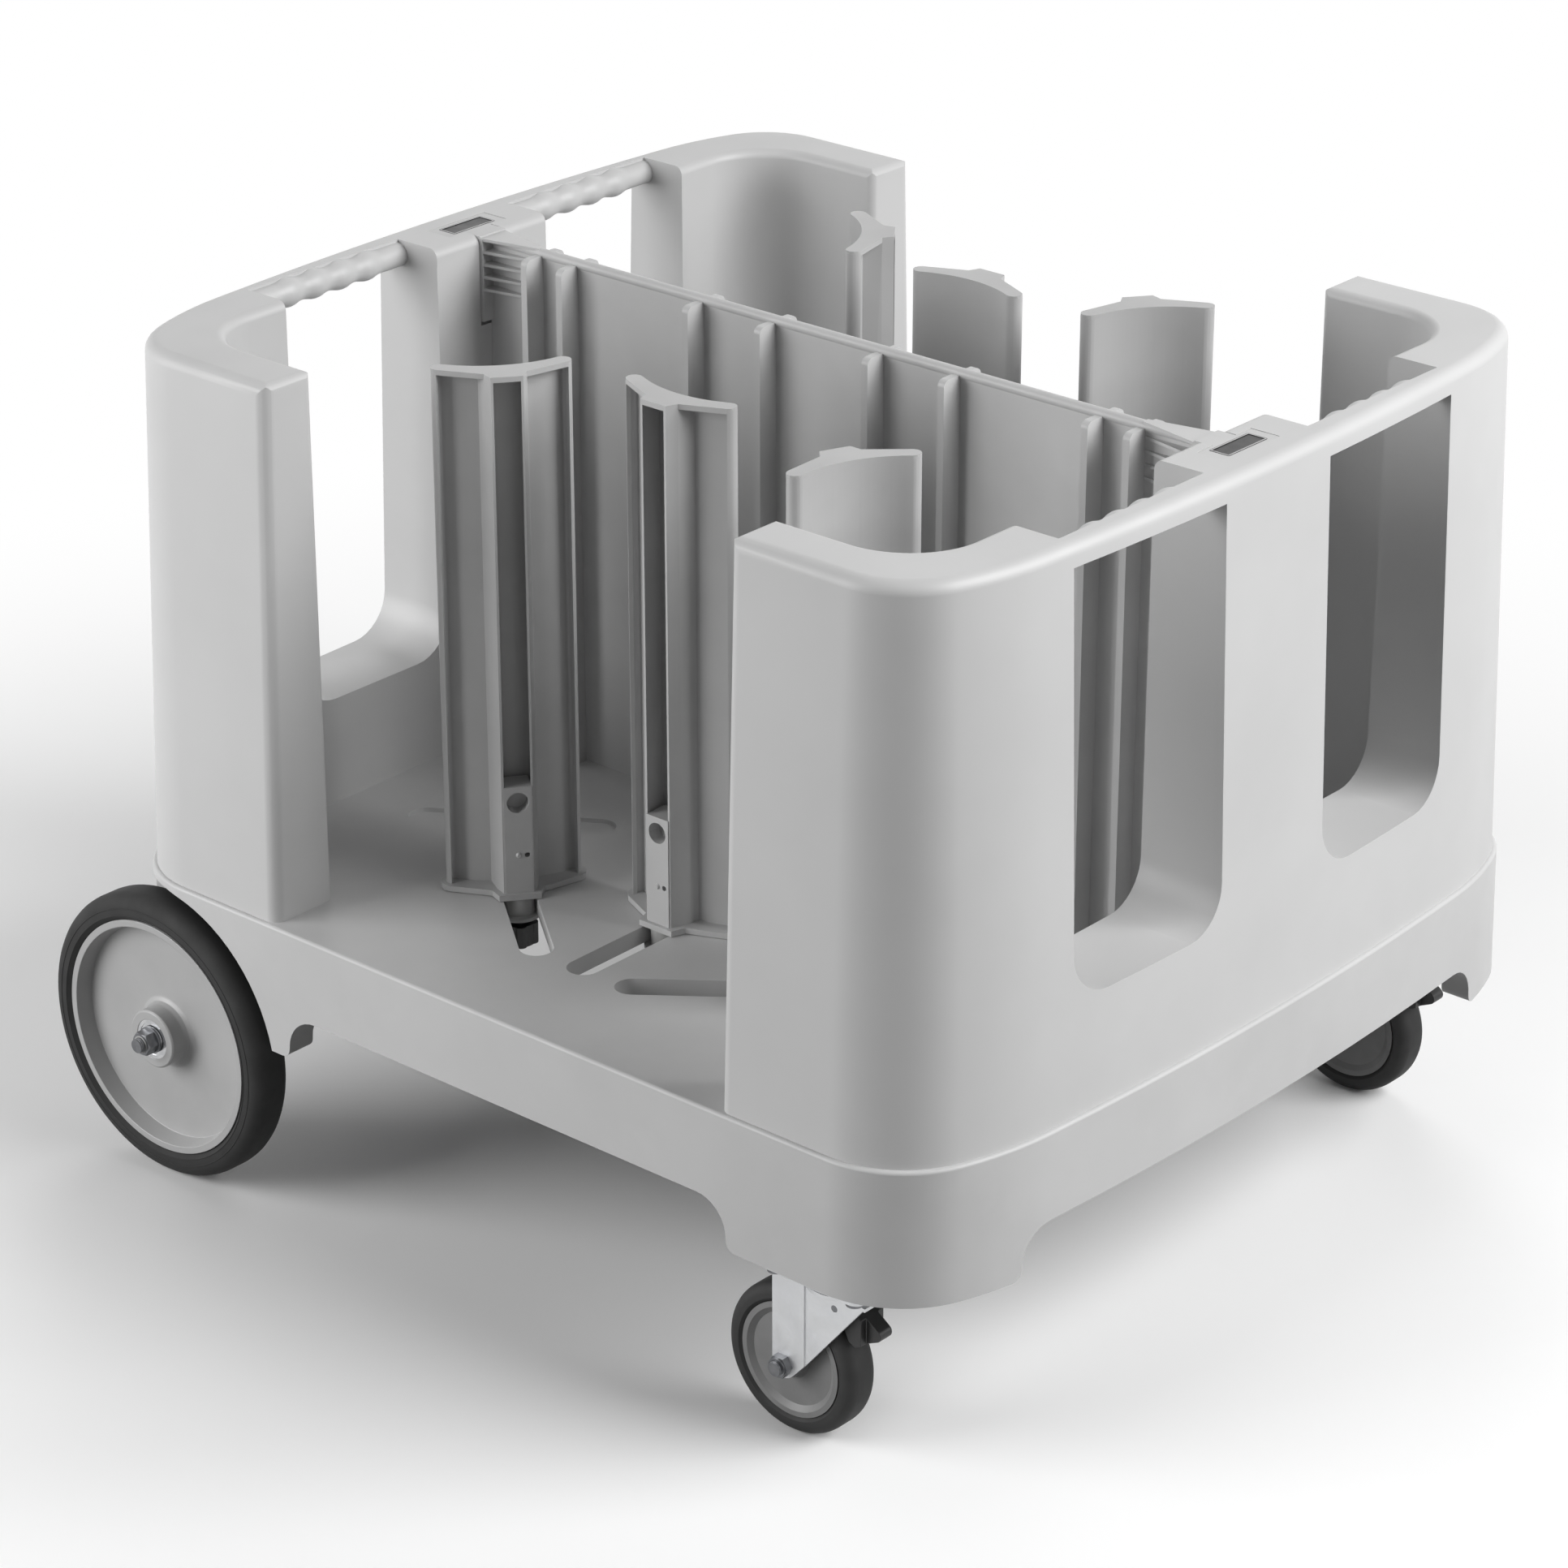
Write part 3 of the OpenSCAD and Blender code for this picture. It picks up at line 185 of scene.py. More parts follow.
@dataclass(frozen=True)
class Finish:
    """The look of one real surface, with its sizes in mm."""

    name: str
    slot: str
    colour: str
    shade: str
    roughness: float
    patch_mm: float
    grain_mm: float
    grain_depth_mm: float
    grain_strength: float = 0.3
    roughness_swing: float = 0.05
    metallic: float = 0.0
    ior: float = 1.5
    stretch: tuple[float, float, float] = (1.0, 1.0, 1.0)
    scuff: str = ""
    scuff_mm: float = 60.0
    scuff_amount: float = 0.0

    def material(self) -> bpy.types.Material:
        """Makes the finish's material on first use.

        Returns:
            The material.
        """
        found = bpy.data.materials.get(self.name)
        if found:
            return found
        made = bpy.data.materials.new(self.name)
        made.use_nodes = True
        made.diffuse_color = linear(self.colour)
        tree = made.node_tree
        tree.nodes.clear()
        place = add_node(tree, "ShaderNodeTexCoord").outputs["Object"]
        shader = add_node(tree, "ShaderNodeBsdfPrincipled", {
            "Base Color": self.colour_of(tree, place),
            "Roughness": self.roughness_of(tree, place),
            "Normal": self.relief_of(tree, place),
            "Metallic": self.metallic,
        })
        if not self.metallic:
            shader.inputs["IOR"].default_value = self.ior
        add_node(tree, "ShaderNodeOutputMaterial", {"Surface": shader.outputs["BSDF"]})
        return made

    def colour_of(self, tree: bpy.types.NodeTree,
                  place: bpy.types.NodeSocket) -> bpy.types.NodeSocket:
        """Makes the slow drift between the finish's colour and its shade, and the rubbed marks.

        Args:
            tree: The material's tree.
            place: Object coordinates, in metres.

        Returns:
            The colour output.
        """
        drift = add_node(tree, "ShaderNodeTexNoise", {
            "Vector": place, "Scale": 1 / (self.patch_mm * MM),
            "Detail": DRIFT.detail, "Roughness": DRIFT.roughness})
        swing = add_node(tree, "ShaderNodeMapRange", {
            "Value": drift.outputs["Fac"], "From Min": DRIFT.low, "From Max": DRIFT.high})
        mixed = add_node(tree, "ShaderNodeMix", {
            0: swing.outputs["Result"], MIX_A: linear(self.colour), MIX_B: linear(self.shade),
        }, data_type="RGBA").outputs[MIX_COLOUR]
        if not self.scuff:
            return mixed
        marks = add_node(tree, "ShaderNodeTexNoise", {
            "Vector": place, "Scale": 1 / (self.scuff_mm * MM),
            "Detail": MARKS.detail, "Roughness": MARKS.roughness})
        worn = add_node(tree, "ShaderNodeMapRange", {
            "Value": marks.outputs["Fac"], "From Min": MARKS.low, "From Max": MARKS.high,
            "To Max": self.scuff_amount})
        return add_node(tree, "ShaderNodeMix", {
            0: worn.outputs["Result"], MIX_A: mixed, MIX_B: linear(self.scuff),
        }, data_type="RGBA").outputs[MIX_COLOUR]

    def roughness_of(self, tree: bpy.types.NodeTree,
                     place: bpy.types.NodeSocket) -> bpy.types.NodeSocket:
        """Makes the roughness, which swings a little from patch to patch.

        Args:
            tree: The material's tree.
            place: Object coordinates, in metres.

        Returns:
            The roughness output.
        """
        cloud = add_node(tree, "ShaderNodeTexNoise", {
            "Vector": place, "Scale": CLOUDS_PER_PATCH / (self.patch_mm * MM),
            "Detail": CLOUDS.detail, "Roughness": CLOUDS.roughness})
        swing = add_node(tree, "ShaderNodeMapRange", {
            "Value": cloud.outputs["Fac"], "From Min": CLOUDS.low, "From Max": CLOUDS.high,
            "To Min": self.roughness - self.roughness_swing,
            "To Max": self.roughness + self.roughness_swing})
        return swing.outputs["Result"]

    def relief_of(self, tree: bpy.types.NodeTree,
                  place: bpy.types.NodeSocket) -> bpy.types.NodeSocket:
        """Makes the surface's fine relief, stretched along the way that it was worked.

        Args:
            tree: The material's tree.
            place: Object coordinates, in metres.

        Returns:
            The normal output.
        """
        drawn = add_node(tree, "ShaderNodeMapping", {"Vector": place, "Scale": self.stretch})
        grain = add_node(tree, "ShaderNodeTexNoise", {
            "Vector": drawn.outputs["Vector"], "Scale": 1 / (self.grain_mm * MM),
            "Detail": GRAIN.detail, "Roughness": GRAIN.roughness})
        bump = add_node(tree, "ShaderNodeBump", {
            "Height": grain.outputs["Fac"], "Strength": self.grain_strength,
            "Distance": self.grain_depth_mm * MM})
        return bump.outputs["Normal"]


# The orange peel of the large mouldings is drawn at its real 2 to 4 mm. Grains that are really
# 0.05 to 0.3 mm wide wouldn't show in the render, so they are drawn at 0.4 to 1.2 mm: spark
# erosion, rubber grain, glass fibres, rolling, turning and grinding marks. An IOR of 1.5 is
# typical of polyethylene, nylon and rubber, and the metals keep the default.

# Polyethylene moulded in a polished tool: an even light grey skin with a soft sheen and a
# faint orange peel.
MOULDED_SHELL = Finish(
    "moulded_polyethylene_light_grey", "shell", "#C9C9C9", "#C4C4C4",
    roughness=0.46, patch_mm=180, grain_mm=3.5, grain_depth_mm=0.08, grain_strength=0.25)

# The base has the same skin, rubbed a little paler where plates and hands pass.
MOULDED_BASE = Finish(
    "moulded_polyethylene_base", "shell", "#C6C6C6", "#C0C0C0",
    roughness=0.48, patch_mm=150, grain_mm=3.0, grain_depth_mm=0.08, grain_strength=0.25,
    scuff="#CFCFCF", scuff_amount=0.2)

# Injection-moulded divider: a tighter, flatter skin than the walls.
MOULDED_DIVIDER = Finish(
    "injection_moulded_divider_grey", "shell", "#C6C6C6", "#BEBEBE",
    roughness=0.44, patch_mm=120, grain_mm=2.0, grain_depth_mm=0.05, grain_strength=0.2)

# Injection-moulded tower: middle grey, satin, with a fine spark-eroded texture.
TOWER_PLASTIC = Finish(
    "injection_moulded_tower_grey", "tower_grey", "#B9B9B9", "#B1B1B1",
    roughness=0.4, patch_mm=110, grain_mm=1.2, grain_depth_mm=0.04, grain_strength=0.2)

# Nylon of the bushes and of the lock nuts' rings: milky grey with a waxy sheen.
BUSH_NYLON = Finish(
    "moulded_nylon_bush_grey", "bush_grey", "#A9A9A8", "#A0A09F",
    roughness=0.38, patch_mm=30, grain_mm=0.8, grain_depth_mm=0.03)

# Nylon wheel centre: smooth grey, semi-gloss from the tool.
WHEEL_NYLON = Finish(
    "moulded_nylon_wheel_centre", "wheel_grey", "#B0B0B0", "#A8A8A8",
    roughness=0.35, patch_mm=90, grain_mm=1.8, grain_depth_mm=0.05)

# Caster wheel centre: the same nylon, drawn darker and duller.
CASTER_NYLON = Finish(
    "moulded_nylon_caster_centre", "wheel_grey", "#828282", "#787878",
    roughness=0.45, patch_mm=40, grain_mm=1.2, grain_depth_mm=0.05)

# Black rubber: matt, with a fine moulded grain and pale dust where it rolls.
TYRE_RUBBER = Finish(
    "moulded_black_rubber", "tyre", "#121212", "#0E0E0E",
    roughness=0.78, patch_mm=60, grain_mm=0.9, grain_depth_mm=0.08, grain_strength=0.5,
    scuff="#2A2A2A", scuff_mm=45, scuff_amount=0.3)

# Thermoplastic rubber tread of the casters: darker and a little shinier.
TREAD_RUBBER = Finish(
    "moulded_caster_tread_rubber", "caster_tread", "#101010", "#0D0D0D",
    roughness=0.7, patch_mm=40, grain_mm=0.7, grain_depth_mm=0.06, grain_strength=0.5,
    scuff="#292929", scuff_mm=30, scuff_amount=0.3)

# Glass-filled black nylon: deep black with a dry, slightly mottled skin.
BLACK_NYLON = Finish(
    "moulded_black_nylon", "black_plastic", "#1E1E1E", "#181818",
    roughness=0.45, patch_mm=25, grain_mm=0.6, grain_depth_mm=0.05, grain_strength=0.4)

# Bare name plate of dark moulded plastic: even and semi-gloss.
BADGE_PLASTIC = Finish(
    "moulded_badge_plate_dark", "badge", "#171718", "#131314",
    roughness=0.32, patch_mm=20, grain_mm=0.5, grain_depth_mm=0.01, grain_strength=0.2)

# Raised border of the name plate: the same plastic, coloured light as a painted highlight along
# the plate's edge.
BADGE_EDGE_HIGHLIGHT = Finish(
    "badge_border_painted_highlight", "badge", "#B8B8B8", "#B0B0B0",
    roughness=0.4, patch_mm=20, grain_mm=0.5, grain_depth_mm=0.01, grain_strength=0.2)

# Pressed sheet with bright zinc: cool silver, cloudy from the bath, with rolling marks
# along the strip.
ZINC_SHEET = Finish(
    "bright_zinc_pressed_sheet", "zinc_sheet", "#C6C7C8", "#BEBFC1",
    roughness=0.48, patch_mm=30, grain_mm=1.0, grain_depth_mm=0.02, metallic=1.0,
    roughness_swing=0.08, stretch=(1.0, 1.0, 0.15))

# Turned and plated fasteners: a darker, greyer zinc with fine tool marks.
ZINC_FASTENER = Finish(
    "bright_zinc_turned_fastener", "zinc_fastener", "#7C7D7F", "#6C6D70",
    roughness=0.33, patch_mm=8, grain_mm=0.5, grain_depth_mm=0.02, metallic=1.0,
    stretch=(0.4, 1.0, 0.4))

# Ground bearing rings: the brightest metal on the cart.
BEARING_STEEL = Finish(
    "ground_bearing_steel", "bearing_steel", "#D3D3D4", "#BFC0C2",
    roughness=0.2, patch_mm=10, grain_mm=0.4, grain_depth_mm=0.01, metallic=1.0)


class SubAssembly:
    """A group of the cart's pieces that are finished together."""

    merge_mm: float = 0.0005
    flat_deg: float = 0.05
    sharp_deg: float = 28.0
    bevel_steps: int = 2

    def build(self) -> None:
        """Makes and dresses every piece of the group."""
        raise NotImplementedError

    def skin(self, node: str) -> bpy.types.Mesh:
        """Copies a solid's mesh, joins its loose triangles and marks its sharp edges.

        Args:
            node: The solid's node.

        Returns:
            The joined mesh, shaded smooth between sharp edges.
        """
        work = bmesh.new()
        work.from_mesh(frame["nodes"][node].data)
        bmesh.ops.remove_doubles(work, verts=work.verts, dist=self.merge_mm * MM)
        bmesh.ops.dissolve_limit(
            work, angle_limit=math.radians(self.flat_deg), verts=work.verts, edges=work.edges)
        mesh = bpy.data.meshes.new(node + "_finished")
        work.to_mesh(mesh)
        work.free()
        for name in ("custom_normal", "sharp_face"):
            if name in mesh.attributes:
                mesh.attributes.remove(mesh.attributes[name])
        mesh.set_sharp_from_angle(angle=math.radians(self.sharp_deg))
        return mesh

    def dress(self, node: str, finish: Finish, edge: Edge = Edge.SHARP) -> bpy.types.Object:
        """Makes the shown piece that stands for a solid, with its finish and, where an edge width
        is given, broken edges.

        Args:
            node: The solid's node.
            finish: The surface that the piece has.
            edge: How wide its edges are broken.

        Returns:
            The piece.
        """
        piece = bpy.data.objects.new(node + "_finished", self.skin(node))
        bpy.context.scene.collection.objects.link(piece)
        piece.data.materials.clear()
        piece.data.materials.append(finish.material())
        if edge.value:
            broken = piece.modifiers.new("broken_edges", "BEVEL")
            broken.width = edge.value * MM
            broken.segments = self.bevel_steps
            broken.limit_method = "ANGLE"
            broken.angle_limit = math.radians(self.sharp_deg)
            broken.harden_normals = True
            broken.miter_outer = "MITER_ARC"
            level = piece.modifiers.new("even_shading", "WEIGHTED_NORMAL")
            level.keep_sharp = True
        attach(piece, BODY_OF[node])
        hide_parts(node)
        LOG.info("%s stands for %s in %s", piece.name, node, finish.name)
        return piece

    def dress_solid(self, node: str, finish: Finish) -> None:
        """Gives a hidden solid its finish as it is.

        Args:
            node: The solid's node.
            finish: The surface that it has.
        """
        solid = frame["nodes"][node]
        solid.data.materials.clear()
        solid.data.materials.append(finish.material())
        LOG.info("%s keeps its solid in %s", node, finish.name)

    def add_piece(self, mesh: bpy.types.Mesh, name: str, body: str,
                  finish: Finish) -> bpy.types.Object:
        """Puts a new detail on the cart.

        Args:
            mesh: The detail's mesh, in its place.
            name: The piece's name.
            body: The body that it moves with.
            finish: The surface that the piece has.

        Returns:
            The piece.
        """
        piece = bpy.data.objects.new(name, mesh)
        bpy.context.scene.collection.objects.link(piece)
        mesh.materials.clear()
        mesh.materials.append(finish.material())
        mesh.shade_smooth()
        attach(piece, body)
        LOG.info("%s added on %s in %s", name, body, finish.name)
        return piece


class PatternTree:
    """A node tree that makes one repeated detail, with named inputs for its sizes."""

    def __init__(self, name: str, sizes: dict[str, float], whole: dict[str, int]) -> None:
        """Starts the tree.

        Args:
            name: The tree's name.
            sizes: Length inputs with their default values, in metres.
            whole: Count inputs with their default values.
        """
        self.tree = bpy.data.node_groups.new(name, "GeometryNodeTree")
        face = self.tree.interface
        face.new_socket("Geometry", in_out="INPUT", socket_type="NodeSocketGeometry")
        for label, value in sizes.items():
            socket = face.new_socket(label, in_out="INPUT", socket_type="NodeSocketFloat")
            socket.default_value = value
        for label, value in whole.items():
            socket = face.new_socket(label, in_out="INPUT", socket_type="NodeSocketInt")
            socket.default_value = value
        face.new_socket("Place", in_out="INPUT", socket_type="NodeSocketVector")
        face.new_socket("Turn", in_out="INPUT", socket_type="NodeSocketVector")
        face.new_socket("Finish", in_out="INPUT", socket_type="NodeSocketMaterial")
        face.new_socket("Geometry", in_out="OUTPUT", socket_type="NodeSocketGeometry")
        self.given = add_node(self.tree, "NodeGroupInput").outputs

    def close(self, geometry: bpy.types.NodeSocket) -> None:
        """Ends the tree: turned and put in place, with instances made real and the finish set.

        Args:
            geometry: The detail's output.
        """
        tree, given = self.tree, self.given
        turned = add_node(tree, "GeometryNodeTransform", {
            "Geometry": geometry, "Rotation": given["Turn"]})
        placed = add_node(tree, "GeometryNodeTransform", {
            "Geometry": turned.outputs[0], "Translation": given["Place"]})
        real = add_node(tree, "GeometryNodeRealizeInstances", {"Geometry": placed.outputs[0]})
        painted = add_node(tree, "GeometryNodeSetMaterial", {
            "Geometry": real.outputs[0], "Material": given["Finish"]})
        add_node(tree, "NodeGroupOutput", {0: painted.outputs[0]})

    def mesh(self, name: str, place: Vector, turn: tuple[float, float, float], finish: Finish,
             **values: float) -> bpy.types.Mesh:
        """Runs the tree once and keeps its result as a plain mesh.

        Args:
            name: The mesh's name.
            place: Where the pattern's own origin goes, in metres.
            turn: How it is turned about X, Y and Z, in degrees.
            finish: The surface that the pattern has.
            values: Values for the tree's other inputs, by their labels.

        Returns:
            The mesh, in its place.
        """
        seed = bpy.data.objects.new(name + "_pattern", bpy.data.meshes.new(name + "_pattern"))
        bpy.context.scene.collection.objects.link(seed)
        pattern = seed.modifiers.new("pattern", "NODES")
        pattern.node_group = self.tree
        keys = {
            s.name: s.identifier for s in self.tree.interface.items_tree if s.in_out == "INPUT"}
        for label, value in values.items():
            pattern[keys[label]] = value
        pattern[keys["Place"]] = tuple(place)
        pattern[keys["Turn"]] = tuple(math.radians(a) for a in turn)
        pattern[keys["Finish"]] = finish.material()
        bpy.context.view_layer.update()
        shown = seed.evaluated_get(bpy.context.evaluated_depsgraph_get())
        made = bpy.data.meshes.new_from_object(shown)
        made.name = name
        seed.modifiers.remove(pattern)
        bpy.data.objects.remove(seed)
        return made


@dataclass(frozen=True)
class ThreadCut:
    """The sizes of a thread that shows past a nut, in mm."""

    core_mm: float
    ridge_mm: float
    plain_end_mm: float
    pitch_mm: float = 1.75


class ThreadPattern(PatternTree):
    """The ridge of a screw thread, wound up +Z round a plain core."""

    def __init__(self) -> None:
        """Builds the tree: a spiral at the core's radius, with a small ridge along it."""
        super().__init__(
            "screw_thread", {"Core": 0.006, "Pitch": 0.00175, "Length": 0.005, "Ridge": 0.0006},
            {"Steps": 32, "Sides": 6})
        tree, given = self.tree, self.given
        turns = add_node(tree, "ShaderNodeMath", {
            0: given["Length"], 1: given["Pitch"]}, operation="DIVIDE")
        spiral = add_node(tree, "GeometryNodeCurveSpiral", {
            "Resolution": given["Steps"], "Rotations": turns.outputs[0],
            "Start Radius": given["Core"], "End Radius": given["Core"],
            "Height": given["Length"]})
        ridge = add_node(tree, "GeometryNodeCurvePrimitiveCircle", {
            "Resolution": given["Sides"], "Radius": given["Ridge"]})
        swept = add_node(tree, "GeometryNodeCurveToMesh", {
            "Curve": spiral.outputs[0], "Profile Curve": ridge.outputs[0], "Fill Caps": True})
        self.close(swept.outputs[0])

    def wind(self, name: str, root: Vector, end_y: float, out: int,
             cut: ThreadCut) -> bpy.types.Mesh:
        """Winds the thread from a nut's face along Y to just short of the rod's end.

        Args:
            name: The mesh's name.
            root: The middle of the nut's outer face.
            end_y: The Y of the rod's end, in metres.
            out: The sign of Y that points outwards.
            cut: The thread's sizes.

        Returns:
            The thread's mesh.
        """
        return self.mesh(
            name, root, (-QUARTER_DEG * out, 0, 0), ZINC_FASTENER,
            Core=cut.core_mm * MM, Pitch=cut.pitch_mm * MM,
            Length=abs(end_y - root.y) - cut.plain_end_mm * MM, Ridge=cut.ridge_mm * MM)


class RingPattern(PatternTree):
    """A number of round ribs, one inside the other, in the plane of X and Y."""

    def __init__(self) -> None:
        """Builds the tree: instances of one circle, each scaled to its own radius, then swept."""
        super().__init__(
            "concentric_ribs", {"First": 0.1, "Step": 0.005, "Rib": 0.0005},
            {"Count": 2, "Steps": 160, "Sides": 6})
        tree, given = self.tree, self.given
        line = add_node(tree, "GeometryNodeMeshLine", {
            "Count": given["Count"], "Offset": (0.0, 0.0, 0.0)})
        number = add_node(tree, "GeometryNodeInputIndex")
        further = add_node(tree, "ShaderNodeMath", {
            0: number.outputs[0], 1: given["Step"]}, operation="MULTIPLY")
        radius = add_node(tree, "ShaderNodeMath", {
            0: given["First"], 1: further.outputs[0]}, operation="ADD").outputs[0]
        circle = add_node(tree, "GeometryNodeCurvePrimitiveCircle", {
            "Resolution": given["Steps"], "Radius": 1.0})
        size = add_node(tree, "ShaderNodeCombineXYZ", {0: radius, 1: radius, 2: radius})
        spread = add_node(tree, "GeometryNodeInstanceOnPoints", {
            "Points": line.outputs[0], "Instance": circle.outputs[0], "Scale": size.outputs[0]})
        rings = add_node(tree, "GeometryNodeRealizeInstances", {"Geometry": spread.outputs[0]})
        section = add_node(tree, "GeometryNodeCurvePrimitiveCircle", {
            "Resolution": given["Sides"], "Radius": given["Rib"]})
        swept = add_node(tree, "GeometryNodeCurveToMesh", {
            "Curve": rings.outputs[0], "Profile Curve": section.outputs[0]})
        self.close(swept.outputs[0])


def revolve(name: str, section: list[tuple[float, float]], centre: Vector, out: int,
            steps: int = 64, merge_mm: float = 0.001) -> bpy.types.Mesh:
    """Turns a closed section about a line along Y into a ring.

    Args:
        name: The mesh's name.
        section: Corners as (radius, distance outwards along the line), in metres.
        centre: The point on the line where the distance is zero.
        out: The sign of Y that points outwards.
        steps: Faces round the ring.
        merge_mm: How near the last corners lie to the first, which they are joined to.

    Returns:
        The ring's mesh, with its faces outwards.
    """
    work = bmesh.new()
    corners = [work.verts.new((r, 0.0, d)) for r, d in section]
    edges = [work.edges.new((corners[i - 1], corners[i])) for i in range(len(corners))]
    bmesh.ops.spin(
        work, geom=corners + edges, cent=(0, 0, 0), axis=(0, 0, 1), angle=math.tau,
        steps=steps, use_merge=True)
    bmesh.ops.remove_doubles(work, verts=work.verts, dist=merge_mm * MM)
    bmesh.ops.recalc_face_normals(work, faces=work.faces)
    turn = Matrix.Rotation(math.radians(-QUARTER_DEG * out), 4, "X")
    bmesh.ops.transform(work, matrix=Matrix.Translation(centre) @ turn, verts=work.verts)
    mesh = bpy.data.meshes.new(name)
    work.to_mesh(mesh)
    work.free()
    return mesh


@dataclass
class Body(SubAssembly):
    """The moulded base, its two end walls and the divider between them."""

    walls: tuple[str, ...] = ("end_wall_front", "end_wall_rear")

    def build(self) -> None:
        """Dresses the moulded shells."""
        self.dress("base_deck", MOULDED_BASE, Edge.MOULDED)
        for wall in self.walls:
            self.dress(wall, MOULDED_SHELL, Edge.MOULDED)
        self.dress("centre_divider", MOULDED_DIVIDER, Edge.PRESSED)
        self.dress_solid("wall_bolts", ZINC_FASTENER)


@dataclass
class BadgePlates(SubAssembly):
    """The two bare plates on the divider's heads, each with a raised border."""

    border_mm: float = 1.1
    inset_mm: float = 0.6
    raise_mm: float = 0.12
    corner_mm: float = 1.6
    least_corner_mm: float = 0.2
    corner_steps: int = 6

    def build(self) -> None:
        """Dresses the plates and adds their light borders, a painted highlight along each plate's
        edge.
        """
        for end in ("front", "rear"):
            self.dress(f"badge_plate_{end}", BADGE_PLASTIC)
            self.border(end)

    def outline(self, low: Vector, high: Vector, inset: float) -> list[tuple[float, float]]:
        """Gives a rounded rectangle inside a plate's edge.

        Args:
            low: The plate's lowest corner.
            high: Its highest corner.
            inset: Distance from the edge, in metres.

        Returns:
            The outline's points, anticlockwise.
        """
        radius = max(self.corner_mm * MM - inset, self.least_corner_mm * MM)
        reach = inset + radius
        centres = ((high.x - reach, high.y - reach), (low.x + reach, high.y - reach),
                   (low.x + reach, low.y + reach), (high.x - reach, low.y + reach))
        points = []
        for number, (x, y) in enumerate(centres):
            for step in range(self.corner_steps + 1):
                angle = math.radians(QUARTER_DEG * (number + step / self.corner_steps))
                points.append((x + radius * math.cos(angle), y + radius * math.sin(angle)))
        return points

    def border(self, end: str) -> None:
        """Adds the light border of one plate, a thin frame on its raised edge that carries a
        painted highlight.

        Args:
            end: The cart's end.
        """
        low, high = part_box(f"badge_plate_{end}")
        outer, inner = self.inset_mm, self.inset_mm + self.border_mm
        foot, top = high.z, high.z + self.raise_mm * MM
        work = bmesh.new()
        rings = []
        for inset, z in ((outer, foot), (outer, top), (inner, top), (inner, foot)):
            points = self.outline(low, high, inset * MM)
            rings.append([work.verts.new((x, y, z)) for x, y in points])
        for ring, following in zip(rings, rings[1:] + rings[:1]):
            for k in range(len(ring)):
                work.faces.new((ring[k - 1], ring[k], following[k], following[k - 1]))
        bmesh.ops.recalc_face_normals(work, faces=work.faces)
        name = f"badge_border_{end}"
        mesh = bpy.data.meshes.new(name)
        work.to_mesh(mesh)
        work.free()
        # The border's light colour is a painted highlight along the plate's edge.
        piece = self.add_piece(mesh, name, BODY_OF[f"badge_plate_{end}"], BADGE_EDGE_HIGHLIGHT)
        piece.data.set_sharp_from_angle(angle=math.radians(self.sharp_deg))


@dataclass
class RearWheels(SubAssembly):
    """The two large wheels, the axle that carries them and its fixings."""

    threads: ThreadPattern
    ribs: RingPattern
    axle_cut: ThreadCut = ThreadCut(core_mm=5.8, ridge_mm=0.55, plain_end_mm=0.9)
    rib_first_mm: float = 109.0
    rib_step_mm: float = 6.0
    rib_mm: float = 0.45
    rib_count: int = 2
    insert_inner_mm: float = 6.1
    insert_outer_mm: float = 7.6
    insert_out_mm: float = 0.4
    insert_in_mm: float = 0.6

    def build(self) -> None:
        """Dresses wheels and axle, and adds threads, sidewall ribs and the nuts' nylon rings."""
        for side, _ in SIDES:
            self.dress(f"wheel_disc_{side}", WHEEL_NYLON, Edge.PRESSED)
            self.dress(f"wheel_tyre_{side}", TYRE_RUBBER)
            self.dress(f"wheel_bearings_{side}", BEARING_STEEL)
            self.sidewall(side)
        self.dress("axle", ZINC_FASTENER)
        self.dress("axle_washers", ZINC_FASTENER, Edge.TURNED)
        self.dress("axle_nuts", ZINC_FASTENER, Edge.TURNED)
        self.dress("axle_spacers", ZINC_FASTENER, Edge.TURNED)
        self.dress("axle_brackets", ZINC_SHEET, Edge.PRESSED)
        self.dress("bracket_bolts", ZINC_FASTENER, Edge.TURNED)
        for side, out in SIDES:
            self.axle_end(side, out)

    def axle_end(self, side: str, out: int) -> None:
        """Adds the thread past the nut and the nut's nylon ring on one side.

        Args:
            side: The side's name.
            out: The sign of Y that points outwards there.
        """
        low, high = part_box("axle")
        nut_low, nut_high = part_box("axle_nuts")
        nut_y, end_y = (nut_high.y, high.y) if out > 0 else (nut_low.y, low.y)
        centre = on_axis(low, high, nut_y)
        name = f"axle_thread_{side}"
        thread = self.threads.wind(name, centre, end_y, out, self.axle_cut)
        self.add_piece(thread, name, "cart", ZINC_FASTENER)
        inner, outer = self.insert_inner_mm * MM, self.insert_outer_mm * MM
        back, front = -self.insert_in_mm * MM, self.insert_out_mm * MM
        corner = front / 2
        section = [(inner, back), (outer, back), (outer, corner), (outer - corner, front),
                   (inner, front)]
        name = f"axle_nut_insert_{side}"
        self.add_piece(revolve(name, section, centre, out), name, "cart", BUSH_NYLON)

    def sidewall(self, side: str) -> None:
        """Adds the round ribs on both sides of one tyre.

        Args:
            side: The side's name.
        """
        low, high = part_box(f"wheel_tyre_{side}")
        for face, wall_y in (("a", low.y), ("b", high.y)):
            name = f"wheel_tyre_ribs_{side}_{face}"
            ribs = self.ribs.mesh(
                name, on_axis(low, high, wall_y), (QUARTER_DEG, 0, 0), TYRE_RUBBER,
                First=self.rib_first_mm * MM, Step=self.rib_step_mm * MM,
                Rib=self.rib_mm * MM, Count=self.rib_count)
            self.add_piece(ribs, name, BODY_OF[f"wheel_tyre_{side}"], TYRE_RUBBER)


